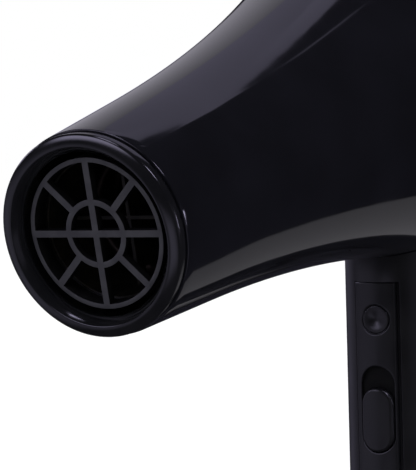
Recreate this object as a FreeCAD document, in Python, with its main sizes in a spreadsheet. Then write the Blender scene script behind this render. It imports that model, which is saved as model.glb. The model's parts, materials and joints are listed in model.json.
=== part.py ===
import FreeCAD, Part
import math
import os
import re

import Sketcher
from FreeCAD import Placement, Rotation, Vector

# A travel hair dryer. The origin is the centre of the handle's flat base, +Z runs up the
# handle and the outlet faces -Y. Lengths are in millimetres and angles in degrees.

sizes = {
    # the whole dryer
    "barrel_length": (171.5, "outlet face to the mouth at the back, along the barrel"),
    "barrel_radius": (44.8, "the barrel's widest outer radius"),
    "outlet_radius": (22, "outer radius of the outlet ring"),
    "axis_height": (155, "base of the handle to the barrel's axis, on the handle's axis"),
    "handle_setback": (13.4, "the handle's axis in front of the barrel's mouth"),
    "nozzle_dip": (12.7, "how far the outlet points below level"),
    # barrel shell
    "shell_wall": (2, "wall of the barrel, measured square to its axis"),
    "shell_step": (0.15, "how far the shell stands proud of the outlet ring"),
    "throat_length": (30, "straight taper behind the outlet"),
    "throat_rise": (2.45, "growth in radius over the throat"),
    "crown_run": (33, "length of the rounded swell over the motor"),
    "crown_rise": (4.1, "growth in radius over the swell"),
    "tail_run": (13.5, "length behind the widest ring"),
    "mouth_drop": (0.5, "loss in radius over the tail"),
    "mouth_wall": (1.3, "wall around the rear cover"),
    "mouth_depth": (6.5, "mouth to the ledge that carries the motor housing"),
    "ledge_width": (2, "width of that ledge"),
    "ledge_depth": (4, "thickness of that ledge"),
    # outlet ring and grille
    "rim_depth": (2.4, "visible depth of the outlet ring"),
    "seam_gap": (0.5, "groove between the outlet ring and the shell"),
    "seam_depth": (0.7, "depth of that groove"),
    "rim_width": (2.6, "width of the ring's front face"),
    "rim_edge": (0.3, "rounding of the ring's outer edge"),
    "lip_step": (1.5, "the lip runs in by this much below the front face"),
    "lip_depth": (1.4, "depth of the lip's rounding"),
    "lip_curve": (1.7, "radius of the lip's rounding"),
    "land_depth": (2.7, "front face to the back of the ring's bore"),
    "sleeve_depth": (9, "front face to the end of the ring's sleeve"),
    "sleeve_wall": (1.3, "wall of that sleeve"),
    "rib_width": (1.6, "width of the ribs that centre the heater tube"),
    "grille_setback": (2.8, "front face to the grille"),
    "grille_depth": (2, "depth of the grille's bars"),
    "grille_bar": (1.5, "width of the bars"),
    "grille_rim": (1, "width of the grille's outer ring"),
    "grille_hub_radius": (6.8, "middle of the grille's inner ring"),
    "grille_hub_width": (1.25, "width of the inner ring"),
    "grille_skirt": (2.2, "length of the skirt inside the heater tube"),
    # heater
    "air_gap": (1.5, "cool air gap around the heater tube"),
    "tube_wall": (0.6, "wall of the heater tube"),
    "liner_wall": (0.5, "wall of the mica liner"),
    "board_thick": (0.8, "thickness of the mica boards"),
    "board_tab": (3, "length of the wide tabs at each end of the mica boards"),
    "board_setback": (11.2, "heater tube's front to the mica boards"),
    "wire_radius": (1.1, "radius of the coiled heating wire"),
    "coil_gap": (1.1, "mica liner to the heating coil"),
    "coil_pitch": (7.5, "pitch of the heating coil"),
    # duct and motor housing
    "cone_run": (24, "heater tube's end to the motor housing's front"),
    "cone_wall": (1.2, "wall of the duct cone"),
    "collar_depth": (4, "overlap of the duct cone on the heater tube"),
    "duct_length": (53, "length of the motor housing's duct"),
    "duct_gap": (4, "duct to the barrel's wall, where the swell begins"),
    "duct_wall": (1.5, "wall of the duct"),
    "flange_thick": (1.5, "thickness of the motor housing's flange"),
    "vane_count": (7, "stator vanes"),
    "vane_thick": (1.2, "thickness of the stator vanes"),
    "vane_length": (20, "length of the stator vanes along the duct"),
    "boss_inset": (1.8, "housing screws inside the ledge's edge"),
    "boss_radius": (2.6, "radius of the screw bosses in the barrel"),
    "boss_length": (9, "length of those bosses"),
    # motor
    "motor_radius": (13, "radius of the motor can"),
    "motor_length": (30, "length of the motor can"),
    "motor_wall": (1.2, "wall of the motor can"),
    "cup_wall": (1.5, "wall of the cup around the motor"),
    "cup_floor": (2, "rear wall of that cup"),
    "shaft_radius": (1, "radius of the shaft"),
    "bush_radius": (2.9, "outer radius of the bushes"),
    "bush_length": (3, "length of the bushes"),
    "magnet_thick": (2.1, "thickness of the magnets"),
    "rotor_gap": (0.6, "air gap between magnets and armature"),
    "stack_length": (18, "length of the armature's laminations"),
    # fan
    "tip_gap": (0.6, "blade tip to duct"),
    "hub_radius": (12.5, "radius of the fan's hub"),
    "hub_length": (12, "length of the fan's hub"),
    "blade_count": (7, "fan blades"),
    "blade_thick": (1.4, "blade thickness, measured along the axis"),
    "blade_rise": (8.5, "length of a blade along the axis"),
    "blade_pitch": (90, "pitch of the blade's screw surface"),
    # intake
    "guard_depth": (2, "depth of the intake guard"),
    "cover_wall": (1.8, "wall of the rear cover"),
    "cover_seam": (0.3, "groove between the shell and the rear cover"),
    "cover_rise": (17, "height of the rear cover's dome"),
    "cover_curve": (22, "radius of the dome's shoulder"),
    "slot_width": (2.2, "width of the air slots"),
    "outer_slots": (40, "slots in the outer ring"),
    "inner_slots": (20, "slots in the inner ring"),
    "mesh_thick": (0.8, "thickness of the filter mesh"),
    # handle
    "grip_half_width": (14.8, "half the handle's width, along X"),
    "grip_half_depth": (16.9, "half the handle's depth, along Y"),
    "grip_wall": (2, "wall of the handle shell"),
    "cap_depth": (3, "thickness of the end cap's plate"),
    "cap_edge": (1.2, "rounding of the handle's bottom edge"),
    "spigot_depth": (5.5, "height of the end cap's spigot"),
    "spigot_wall": (1.5, "wall of that spigot"),
    "neck_seam": (0.15, "gap between the handle and the barrel"),
    "panel_half_width": (6.6, "half the width of the front panel"),
    "panel_bottom": (12, "height of the panel's lower end"),
    "panel_drop": (9.4, "panel's upper end below the barrel's widest ring"),
    "panel_thick": (3.5, "thickness of the panel at its middle"),
    "panel_groove": (0.5, "width and depth of the rebate along the panel's edges"),
    "tongue_half": (2.5, "half the width of the panel's tongues"),
    "tongue_length": (2.8, "how far the tongues reach past the panel"),
    # controls
    "slot_drop": (34.8, "panel's upper end to the middle of the slider's recess"),
    "slot_length": (23.8, "length of the slider's recess"),
    "slot_half": (4.9, "half the width of the slider's recess"),
    "slot_depth": (1.9, "depth of the recess at its middle"),
    "slide_travel": (5.6, "travel of the speed slider"),
    "knob_proud": (0.8, "how far the knob stands above the grip"),
    "button_drop": (10.1, "panel's upper end to the button's middle"),
    "button_radius": (3.8, "radius of the cool-shot button"),
    "button_recess": (0.4, "button's face below the grip's surface"),
    "dish_width": (0.85, "width of the dish around the button"),
    "dish_depth": (0.7, "depth of that dish"),
    "button_travel": (1.5, "travel of the button"),
    "switch_depth": (5.7, "depth of the slide switch"),
    "switch_half": (4.5, "half the width of the slide switch"),
    "switch_length": (24, "length of the slide switch"),
    "circuit_thick": (1.4, "thickness of the control board"),
    "circuit_half": (6.2, "half the width of the control board"),
    # cord inlet
    "inlet_radius": (3.5, "bore of the cord gland"),
    "gland_radius": (5, "outer radius of the cord gland"),
    "gland_length": (13, "length of the cord gland"),
    "post_reach": (8.6, "cord retainer's screws from the middle"),
    "post_radius": (2.4, "radius of the posts under those screws"),
    "retainer_thick": (2.5, "thickness of the cord retainer"),
    # screws and fits
    "screw_radius": (1, "shank of the small screws"),
    "head_radius": (2, "head of the small screws"),
    "head_depth": (1.5, "depth of the screw heads"),
    "column_radius": (2.9, "radius of the handle screw's columns"),
    "slack": (0.1, "clearance between pieces that fit together"),
    "fine_slack": (0.03, "clearance of shafts in bushes and screws in their holes"),
    "run_slack": (0.3, "clearance around pieces that slide"),
}

# Places and radii that follow from the sizes above.
sums = {
    "handle_reach": "barrel_length - handle_setback",
    "outlet_y": "0 - handle_reach * cos(nozzle_dip)",
    "outlet_z": "axis_height - handle_reach * sin(nozzle_dip)",
    # barrel
    "shell_front": "rim_depth + seam_gap",
    "throat_slope": "throat_rise / throat_length",
    "throat_radius": "outlet_radius + shell_step + throat_rise",
    "front_radius": "outlet_radius + shell_step + throat_slope * shell_front",
    "flare_radius": "barrel_radius - crown_rise",
    "mouth_radius": "barrel_radius - mouth_drop",
    "crown_length": "barrel_length - tail_run",
    "flare_length": "crown_length - crown_run",
    "throat_angle": "atan(throat_slope)",
    "flare_rise": "flare_radius - throat_radius",
    "flare_run": "flare_length - throat_length",
    "flare_angle": "atan(flare_rise / flare_run)",
    "flare_end": "2 * flare_angle - throat_angle",
    "flare_curve": "sqrt(flare_rise^2 + flare_run^2) / 2 / sin(flare_angle - throat_angle)",
    "crown_angle": "atan(crown_rise / crown_run)",
    "crown_end": "2 * crown_angle - flare_end",
    "crown_curve": "sqrt(crown_rise^2 + crown_run^2) / 2 / sin(flare_end - crown_angle)",
    "tail_angle": "atan(mouth_drop / tail_run)",
    "tail_curve": "sqrt(mouth_drop^2 + tail_run^2) / 2 / sin(crown_end + tail_angle)",
    "seat": "barrel_length - mouth_depth",
    "mouth_bore": "mouth_radius - mouth_wall",
    "ledge_radius": "mouth_bore - ledge_width",
    "mount_ring": "ledge_radius - boss_inset",
    # outlet
    "face_radius": "outlet_radius - rim_width",
    "land_radius": "face_radius - lip_step",
    "sleeve_radius": "front_radius - shell_wall - slack",
    "tube_radius": "land_radius - air_gap",
    "tube_bore": "tube_radius - tube_wall",
    "tube_front": "grille_setback + grille_depth",
    # heater
    "liner_radius": "tube_bore - slack",
    "liner_bore": "liner_radius - liner_wall",
    "coil_radius": "liner_bore - coil_gap - wire_radius",
    "board_front": "tube_front + board_setback",
    "board_rear": "tube_rear - board_tab",
    "board_middle": "(board_front + board_rear) / 2",
    "board_half": "coil_radius - wire_radius - slack",
    "tab_half": "liner_bore - slack",
    # duct and motor
    "duct_front": "seat - duct_length",
    "tube_rear": "duct_front - cone_run",
    "duct_radius": "flare_radius - shell_wall - duct_gap",
    "duct_bore": "duct_radius - duct_wall",
    "housing_rear": "seat + flange_thick",
    "hub_rear": "seat - 3",
    "hub_front": "hub_rear - hub_length",
    "cup_rear": "hub_front - 2",
    "motor_rear": "cup_rear - cup_floor",
    "motor_front": "motor_rear - motor_length",
    "cup_bore": "motor_radius + slack",
    "cup_radius": "cup_bore + cup_wall",
    "can_bore": "motor_radius - motor_wall",
    "boss_bore": "bush_radius + fine_slack",
    "boss_outer": "boss_bore + 1",
    "magnet_radius": "can_bore - slack",
    "magnet_bore": "magnet_radius - magnet_thick",
    "stack_radius": "magnet_bore - rotor_gap",
    "stack_front": "motor_front + 7",
    "stack_rear": "stack_front + stack_length",
    "fan_radius": "duct_bore - tip_gap",
    # intake
    "guard_rear": "housing_rear + guard_depth",
    "skirt_radius": "mouth_bore - slack",
    "skirt_front": "guard_rear + 0.6",
    "cover_front": "barrel_length + cover_seam",
    "cover_radius": "mouth_radius - slack",
    "cover_rear": "cover_front + cover_rise",
    # handle
    "inner_half_width": "grip_half_width - grip_wall",
    "inner_half_depth": "grip_half_depth - grip_wall",
    "panel_top": "axis_height - barrel_radius - panel_drop",
    "panel_inner": "panel_thick - grip_half_depth",
    "tongue_face": "run_slack - inner_half_depth * sqrt(1 - (tongue_half / inner_half_width)^2)",
    "neck_bottom": "panel_top + tongue_length + 1.4",
    "neck_top": "axis_height - barrel_radius * 0.7",
    "neck_screw_height": "neck_bottom + 3.3",
    "lead_deep": "circuit_rear + 0.95",
    "lead_top": "axis_height + lead_deep * tan(nozzle_dip) - duct_radius / cos(nozzle_dip) - 0.4",
    "column_height": "slot_middle - 20",
    "column_end": "1.8",
    # controls
    "slot_middle": "panel_top - slot_drop",
    "slot_bottom": "slot_middle - slot_length / 2",
    "slot_floor": "slot_depth - grip_half_depth",
    "knob_length": "slot_length - slide_travel - 2 * run_slack",
    "knob_half": "slot_half - run_slack",
    "knob_bottom": "slot_bottom + run_slack",
    "knob_middle": "knob_bottom + knob_length / 2",
    "button_height": "panel_top - button_drop",
    "switch_front": "panel_inner + 2 * slack",
    "switch_rear": "switch_front + switch_depth",
    "switch_bottom": "slot_middle - switch_length / 2",
    "switch_top": "slot_middle + switch_length / 2",
    "circuit_front": "switch_rear + slack",
    "circuit_rear": "circuit_front + circuit_thick",
    "circuit_bottom": "switch_bottom - 4.6",
    "circuit_top": "button_height + 6.3",
    "button_flange": "panel_inner + 2 * slack",
    "plunger_end": "button_flange + 2.9",
    "micro_front": "plunger_end + 0.1",
    # cord inlet
    "post_top": "gland_length",
    "spigot_top": "cap_depth + spigot_depth",
}

doc = FreeCAD.newDocument("hair_dryer")
sheet = doc.addObject("Spreadsheet::Sheet", "Sizes")
for row, (alias, (value, meaning)) in enumerate(sizes.items(), start=1):
    sheet.set(f"A{row}", alias.replace("_", " "))
    sheet.set(f"B{row}", str(value))
    sheet.set(f"C{row}", meaning)
    sheet.setAlias(f"B{row}", alias)
doc.recompute()


# ---- expressions ----

def cells(text):
    # each name becomes its cell in the sheet, or the sum that it stands for
    def swap(found):
        name = found.group()
        if name in sizes:
            return "Sizes." + name
        if name in sums:
            return "(" + cells(sums[name]) + ")"
        return name
    return re.sub(r"[a-z][a-z_]*", swap, str(text))


def number(text):
    found = sheet.evalExpression(cells(text))
    return float(getattr(found, "Value", found))


def bind(piece, field, text):
    piece.setExpression(field, cells(text))


def place(piece, across="0", deep="0", high="0"):
    bind(piece, "Placement.Base.x", across)
    bind(piece, "Placement.Base.y", deep)
    bind(piece, "Placement.Base.z", high)
    return piece


def in_barrel(piece, across="0", down="0", back="0"):
    # the barrel's frame stands at the outlet: +Z runs back along the axis and +Y points down
    piece.Placement = Placement(Vector(), Rotation(Vector(1, 0, 0), number("nozzle_dip - 90")))
    bind(piece, "Placement.Rotation.Angle", "(nozzle_dip - 90) * 1 deg")
    deep = f"outlet_y + ({down}) * sin(nozzle_dip) + ({back}) * cos(nozzle_dip)"
    high = f"outlet_z - ({down}) * cos(nozzle_dip) + ({back}) * sin(nozzle_dip)"
    return place(piece, across, deep, high)


# ---- sketches and features ----

def new_body(name):
    body = doc.addObject("PartDesign::Body", name)
    body.Label = name
    return body


def origin_feature(body, role):
    return next(item for item in body.Origin.OriginFeatures if item.Role == role)


def new_sketch(body, name, plane, offset="0"):
    sketch = body.newObject("Sketcher::SketchObject", name)
    sketch.AttachmentSupport = [(origin_feature(body, plane), "")]
    sketch.MapMode = "FlatFace"
    bind(sketch, "AttachmentOffset.Base.z", offset)
    return sketch


def fix_point(sketch, edge, end, across, along):
    for kind, text in (("DistanceX", across), ("DistanceY", along)):
        rule = Sketcher.Constraint(kind, -1, 1, edge, end, number(text))
        bind(sketch, f"Constraints[{sketch.addConstraint(rule)}]", text)


def draw_outline(sketch, corners):
    # A closed outline through the corners. A corner (x, y, radius) is reached by an arc,
    # which turns left where the radius is positive and right where it is negative.
    first = sketch.GeometryCount
    spots = [Vector(number(corner[0]), number(corner[1]), 0) for corner in corners]
    bends = [number(corner[2]) if len(corner) > 2 else 0 for corner in corners]
    for index, bend in enumerate(bends):
        start, end = spots[index - 1], spots[index]
        if bend == 0:
            sketch.addGeometry(Part.LineSegment(start, end), False)
            continue
        half = (end - start) * 0.5
        rise = abs(bend) - math.sqrt(max(bend ** 2 - half.Length ** 2, 0))
        outward = Vector(half.y, -half.x, 0).normalize()
        middle = start + half + outward * math.copysign(rise, bend)
        ends = (start, middle, end) if bend > 0 else (end, middle, start)
        sketch.addGeometry(Part.Arc(*ends), False)
    for index, corner in enumerate(corners):
        edge, after = first + index, first + (index + 1) % len(corners)
        arriving = 1 if bends[index] < 0 else 2
        leaving = 2 if bends[after - first] < 0 else 1
        sketch.addConstraint(Sketcher.Constraint("Coincident", edge, arriving, after, leaving))
        fix_point(sketch, edge, arriving, corner[0], corner[1])
        if bends[index] != 0:
            rule = Sketcher.Constraint("Radius", edge, abs(bends[index]))
            bind(sketch, f"Constraints[{sketch.addConstraint(rule)}]", f"abs({corner[2]})")


def draw_circle(sketch, across, along, radius):
    centre = Vector(number(across), number(along), 0)
    edge = sketch.addGeometry(Part.Circle(centre, Vector(0, 0, 1), number(radius)), False)
    fix_point(sketch, edge, 3, across, along)
    rule = Sketcher.Constraint("Radius", edge, number(radius))
    bind(sketch, f"Constraints[{sketch.addConstraint(rule)}]", radius)


def box_corners(left, right, bottom, top):
    return [(left, bottom), (right, bottom), (right, top), (left, top)]


def pill_corners(half, bottom, top):
    # an upright slot with round ends, made of quarter arcs
    low, high = f"{bottom} + {half}", f"{top} - {half}"
    return [
        (half, low, half), (half, high), ("0", top, half), (f"0 - {half}", high, half),
        (f"0 - {half}", low), ("0", bottom, half),
    ]


def revolve(body, corners, name="turned"):
    sketch = new_sketch(body, f"{body.Name}_{name}", "XZ_Plane")
    draw_outline(sketch, corners)
    feature = body.newObject("PartDesign::Revolution", f"{body.Name}_{name}_turn")
    feature.Profile = sketch
    feature.ReferenceAxis = (sketch, ["V_Axis"])
    feature.Angle = 360
    body.Tip = feature
    return body


def extrude(body, name, plane, shapes, start, length, removes=False, both_ways=False):
    # Adds or removes the shapes from the given offset along the plane's normal. A shape is
    # an outline, or a circle given as (x, y, radius).
    sketch = new_sketch(body, f"{body.Name}_{name}", plane, start)
    for shape in shapes:
        if isinstance(shape, tuple):
            draw_circle(sketch, *shape)
        else:
            draw_outline(sketch, shape)
    kind = "PartDesign::Pocket" if removes else "PartDesign::Pad"
    feature = body.newObject(kind, f"{body.Name}_{name}_{'cut' if removes else 'pad'}")
    feature.Profile = sketch
    feature.Reversed = removes
    feature.Midplane = both_ways
    bind(feature, "Length", length)
    body.Tip = feature
    return feature


def repeat(body, feature, count):
    pattern = body.newObject("PartDesign::PolarPattern", f"{feature.Name}_ring")
    pattern.Originals = [feature]
    pattern.Axis = (origin_feature(body, "Z_Axis"), [""])
    pattern.Angle = 360
    bind(pattern, "Occurrences", count)
    body.Tip = pattern
    return pattern


def sweep_helix(body, name, draw, pitch, height):
    sketch = new_sketch(body, f"{body.Name}_{name}", "XZ_Plane")
    draw(sketch)
    feature = body.newObject("PartDesign::AdditiveHelix", f"{body.Name}_{name}_helix")
    feature.Profile = sketch
    feature.ReferenceAxis = (sketch, ["V_Axis"])
    feature.Mode = 0
    bind(feature, "Pitch", pitch)
    bind(feature, "Height", height)
    body.Tip = feature
    return feature


# ---- primitives and booleans ----

def block(name, across, deep, high):
    # a box between two values on each axis
    box = doc.addObject("Part::Box", name)
    for field, (low, top) in zip(("Length", "Width", "Height"), (across, deep, high)):
        bind(box, field, f"({top}) - ({low})")
    return place(box, across[0], deep[0], high[0])


def upright_rod(name, radius, across, deep, bottom, top):
    rod = doc.addObject("Part::Cylinder", name)
    bind(rod, "Radius", radius)
    bind(rod, "Height", f"({top}) - ({bottom})")
    return place(rod, across, deep, bottom)


def deep_rod(name, radius, across, front, rear, high):
    # a cylinder along Y
    rod = doc.addObject("Part::Cylinder", name)
    bind(rod, "Radius", radius)
    bind(rod, "Height", f"({rear}) - ({front})")
    rod.Placement = Placement(Vector(), Rotation(Vector(1, 0, 0), -90))
    return place(rod, across, front, high)


def barrel_rod(name, radius, across, down, front, rear):
    # a cylinder along the barrel
    rod = doc.addObject("Part::Cylinder", name)
    bind(rod, "Radius", radius)
    bind(rod, "Height", f"({rear}) - ({front})")
    return in_barrel(rod, across, down, front)


def oval_prism(name, half_width, half_depth, bottom, top):
    # an upright prism over an ellipse, whichever of its axes is the longer one
    edge = doc.addObject("Part::Ellipse", name + "_edge")
    bind(edge, "MajorRadius", f"max({half_width}; {half_depth})")
    bind(edge, "MinorRadius", f"min({half_width}; {half_depth})")
    edge.Placement = Placement(Vector(), Rotation(Vector(0, 0, 1), 90))
    bind(edge, "Placement.Rotation.Angle", f"{half_width} > {half_depth} ? 0 deg : 90 deg")
    prism = doc.addObject("Part::Extrusion", name)
    prism.Base = edge
    prism.DirMode = "Custom"
    prism.Dir = Vector(0, 0, 1)
    prism.Solid = True
    bind(prism, "LengthFwd", f"({top}) - ({bottom})")
    return place(prism, "0", "0", bottom)


def combine(kind, name, pieces):
    joined = doc.addObject(kind, name)
    joined.Label = name
    if kind == "Part::Cut":
        joined.Base, joined.Tool = pieces
    elif kind == "Part::Compound":
        joined.Links = pieces
    else:
        joined.Shapes = pieces
    return joined


def fuse(name, *pieces):
    return combine("Part::MultiFuse", name, list(pieces))


def cut(name, base, *tools):
    tool = tools[0] if len(tools) == 1 else fuse(name + "_tools", *tools)
    return combine("Part::Cut", name, (base, tool))


def common(name, *pieces):
    return combine("Part::MultiCommon", name, list(pieces))


def group(name, pieces):
    return combine("Part::Compound", name, list(pieces))


nodes = []


def node(piece, name):
    piece.Label = name
    nodes.append(piece)
    return piece


def turned_node(name, corners):
    # a piece turned about the barrel's axis
    body = in_barrel(new_body(name))
    revolve(body, corners)
    return node(body, name)


def tube_corners(bore, radius, front, rear):
    return box_corners(bore, radius, front, rear)


# ---- barrel shell ----

def barrel_side(grow):
    # the barrel's side line from the outlet back to the mouth, moved out by grow
    return [
        (f"front_radius + {grow}", "shell_front"),
        (f"throat_radius + {grow}", "throat_length"),
        (f"flare_radius + {grow}", "flare_length", "0 - flare_curve"),
        (f"barrel_radius + {grow}", "crown_length", "crown_curve"),
    ]


def barrel_solid(name, grow):
    body = in_barrel(new_body(name))
    mouth = (f"mouth_radius + {grow}", "barrel_length", "tail_curve")
    revolve(body, [("0", "shell_front")] + barrel_side(grow) + [mouth, ("0", "barrel_length")])
    return body


def barrel_cavity():
    body = in_barrel(new_body("barrel_cavity"))
    side = barrel_side("(0 - shell_wall)")
    corners = [("0", "shell_front - 1"), (side[0][0], "shell_front - 1")] + side + [
        ("ledge_radius", "seat - ledge_depth"), ("ledge_radius", "seat"),
        ("mouth_bore", "seat"), ("mouth_bore", "barrel_length + 1"), ("0", "barrel_length + 1"),
    ]
    revolve(body, corners)
    return body


screw_turns = (-90, 30, 150)


def ring_spot(turn):
    # where a screw stands on the motor housing's mounting ring
    return f"mount_ring * cos({turn})", f"mount_ring * sin({turn})"


def make_barrel_shell():
    neck = oval_prism("neck_outside", "inner_half_width - slack", "inner_half_depth - slack",
                      "neck_bottom", "neck_top")
    neck_hole = oval_prism("neck_hole", "inner_half_width - slack - shell_wall",
                           "inner_half_depth - slack - shell_wall", "neck_bottom - 1", "neck_top")
    solid = fuse("barrel_and_neck", barrel_solid("barrel_outside", "0"), neck)
    hollow = cut("barrel_hollow", solid, barrel_cavity(), neck_hole)
    bosses = []
    holes = [deep_rod("neck_pilot", "screw_radius + fine_slack", "0", "0", "grip_half_depth",
                      "neck_screw_height")]
    for index, turn in enumerate(screw_turns):
        across, down = ring_spot(turn)
        bosses.append(barrel_rod(f"barrel_boss_{index}", "boss_radius", across, down,
                                 "seat - boss_length", "seat"))
        holes.append(barrel_rod(f"barrel_pilot_{index}", "screw_radius + fine_slack", across, down,
                                "seat - boss_length + 1", "seat + 1"))
    node(cut("barrel_shell", fuse("barrel_with_bosses", hollow, *bosses), *holes), "barrel_shell")


# ---- outlet ring and grille ----

def make_outlet_ring():
    body = in_barrel(new_body("outlet_ring"))
    groove = "outlet_radius - seam_depth"
    inside = "sleeve_radius - sleeve_wall"
    revolve(body, [
        ("outlet_radius - rim_edge", "0"),
        ("outlet_radius", "rim_edge", "rim_edge"),
        ("outlet_radius", "rim_depth"),
        (groove, "rim_depth"),
        (groove, "shell_front"),
        ("sleeve_radius", "shell_front"),
        ("sleeve_radius", "sleeve_depth"),
        (inside, "sleeve_depth"),
        (inside, "land_depth"),
        ("land_radius", "land_depth"),
        ("land_radius", "lip_depth"),
        ("face_radius", "0", "lip_curve"),
    ])
    rib = extrude(body, "rib", "XY_Plane",
                  [box_corners("tube_radius + slack", f"{inside} + 0.3", "0 - rib_width / 2",
                               "rib_width / 2")],
                  "tube_front + 0.4", "sleeve_depth - tube_front - 0.4")
    repeat(body, rib, "4")
    node(body, "outlet_ring")


def make_outlet_grille():
    body = in_barrel(new_body("outlet_grille"))
    bore = "tube_radius - grille_rim"
    skirt = "tube_bore - slack"
    revolve(body, [
        (bore, "grille_setback"), ("tube_radius", "grille_setback"), ("tube_radius", "tube_front"),
        (skirt, "tube_front"), (skirt, "tube_front + grille_skirt"),
        (f"{bore} - 0.3", "tube_front + grille_skirt"), (f"{bore} - 0.3", "tube_front"),
        (bore, "tube_front - 0.3"),
    ])
    reach = f"{bore} + 0.3"
    bars = (
        box_corners(f"0 - ({reach})", reach, "0 - grille_bar / 2", "grille_bar / 2"),
        box_corners("0 - grille_bar / 2", "grille_bar / 2", f"0 - ({reach})", reach),
    )
    for index, bar in enumerate(bars):
        extrude(body, f"bar_{index}", "XY_Plane", [bar], "grille_setback", "grille_depth")
    extrude(body, "hub", "XY_Plane",
            [("0", "0", "grille_hub_radius + grille_hub_width / 2"),
             ("0", "0", "grille_hub_radius - grille_hub_width / 2")],
            "grille_setback", "grille_depth")
    half = "grille_bar / 2 * cos(45)"
    near, far = "grille_hub_radius * cos(45)", f"({reach}) * cos(45)"
    spoke = extrude(body, "spoke", "XY_Plane", [[
        (f"{near} + {half}", f"{near} - {half}"), (f"{far} + {half}", f"{far} - {half}"),
        (f"{far} - {half}", f"{far} + {half}"), (f"{near} - {half}", f"{near} + {half}"),
    ]], "grille_setback", "grille_depth")
    repeat(body, spoke, "4")
    node(body, "outlet_grille")


# ---- heater ----

def mica_board(name, plane, slot_from_front):
    # a flat board with wide tabs at its ends and a half-lap slot for the board that it crosses
    body = in_barrel(new_body(name))
    front_step, rear_step = "board_front + board_tab", "board_rear - board_tab"
    half_slot = "(board_thick / 2 + slack / 2)"
    slot = [(f"0 - {half_slot}", "{end}"), (f"0 - {half_slot}", "board_middle"),
            (half_slot, "board_middle"), (half_slot, "{end}")]
    if slot_from_front:
        front_slot = [(across, along.format(end="board_front")) for across, along in slot]
        rear_slot = []
    else:
        front_slot = []
        rear_slot = [(across, along.format(end="board_rear")) for across, along in reversed(slot)]
    outline = [("0 - tab_half", "board_front")] + front_slot + [
        ("tab_half", "board_front"), ("tab_half", front_step), ("board_half", front_step),
        ("board_half", rear_step), ("tab_half", rear_step), ("tab_half", "board_rear"),
    ] + rear_slot + [
        ("0 - tab_half", "board_rear"), ("0 - tab_half", rear_step), ("0 - board_half", rear_step),
        ("0 - board_half", front_step), ("0 - tab_half", front_step),
    ]
    extrude(body, "board", plane, [outline], "0", "board_thick", both_ways=True)
    node(body, name)


def make_heater():
    turned_node("heater_tube", tube_corners("tube_bore", "tube_radius", "tube_front", "tube_rear"))
    turned_node("mica_liner", tube_corners("liner_bore", "liner_radius",
                                           "tube_front + grille_skirt + 1", "tube_rear - 2"))
    mica_board("mica_board_vertical", "YZ_Plane", True)
    mica_board("mica_board_horizontal", "XZ_Plane", False)
    coil = in_barrel(new_body("heating_coil"))
    front = "board_front + board_tab + wire_radius + 0.4"
    rear = "board_rear - board_tab - wire_radius - 0.4"
    sweep_helix(coil, "wire", lambda sketch: draw_circle(sketch, "coil_radius", front, "wire_radius"),
                "coil_pitch", f"({rear}) - ({front})")
    node(coil, "heating_coil")
    side = "board_thick / 2 + slack / 2"
    cutout = in_barrel(new_body("thermal_cutout"))
    extrude(cutout, "case", "YZ_Plane", [box_corners("3", "8", "board_rear - 24", "board_rear - 12")],
            side, "2.2")
    node(cutout, "thermal_cutout")
    node(barrel_rod("thermal_fuse", "1.5", f"{side} + 1.5", "0 - 5", "board_rear - 24",
                    "board_rear - 13"), "thermal_fuse")


# ---- duct and motor housing ----

def make_duct_cone():
    collar = "tube_radius + slack"
    lip = "duct_bore - slack"
    turned_node("duct_cone", [
        (collar, "tube_rear - collar_depth"),
        (f"{collar} + cone_wall", "tube_rear - collar_depth"),
        (f"{collar} + cone_wall", "tube_rear"),
        ("duct_radius", "duct_front - 3"),
        ("duct_radius", "duct_front"),
        (lip, "duct_front"),
        (lip, "duct_front + 3"),
        (f"{lip} - cone_wall", "duct_front + 3"),
        (f"{lip} - cone_wall", "duct_front - 2"),
        (f"{collar} - 0.1 - tube_wall", "tube_rear + 0.6"),
        (f"{collar} - 0.1 - tube_wall", "tube_rear"),
        (collar, "tube_rear"),
    ])


def make_motor_housing():
    body = in_barrel(new_body("motor_housing"))
    revolve(body, [
        ("duct_bore", "duct_front"), ("duct_radius", "duct_front"), ("duct_radius", "seat"),
        ("mouth_bore - slack", "seat"), ("mouth_bore - slack", "housing_rear"),
        ("duct_bore", "housing_rear"),
    ], "duct")
    vane_front = "cup_rear - cup_floor - vane_length - 4"
    vane = extrude(body, "vane", "XY_Plane",
                   [box_corners("cup_bore + 0.4", "duct_bore + 0.4", "0 - vane_thick / 2",
                                "vane_thick / 2")], vane_front, "vane_length")
    repeat(body, vane, "vane_count")
    revolve(body, [
        ("cup_bore", "motor_front - 1"), ("cup_radius", "motor_front - 1"), ("cup_radius", "cup_rear"),
        ("boss_outer + slack", "cup_rear"), ("boss_outer + slack", "motor_rear"),
        ("cup_bore", "motor_rear"),
    ], "cup")
    extrude(body, "screw_holes", "XY_Plane",
            [("motor_radius * 0.6", "0", "screw_radius + fine_slack"),
             ("0 - motor_radius * 0.6", "0", "screw_radius + fine_slack")],
            "motor_rear - 1", "cup_floor + 2", removes=True)
    holes = [(*ring_spot(turn), "screw_radius + 2 * slack") for turn in screw_turns]
    extrude(body, "flange_holes", "XY_Plane", holes, "seat - 1", "flange_thick + 2", removes=True)
    node(body, "motor_housing")


def barrel_screw(name, across, down, tip, seat_height, head_depth="head_depth"):
    # a pan-head screw along the barrel, its head behind the seat
    body = in_barrel(new_body(name), across, down)
    revolve(body, [
        ("0", tip), ("screw_radius", tip), ("screw_radius", seat_height), ("head_radius", seat_height),
        ("head_radius", f"{seat_height} + {head_depth}"), ("0", f"{seat_height} + {head_depth}"),
    ])
    return body


# ---- motor ----

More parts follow.
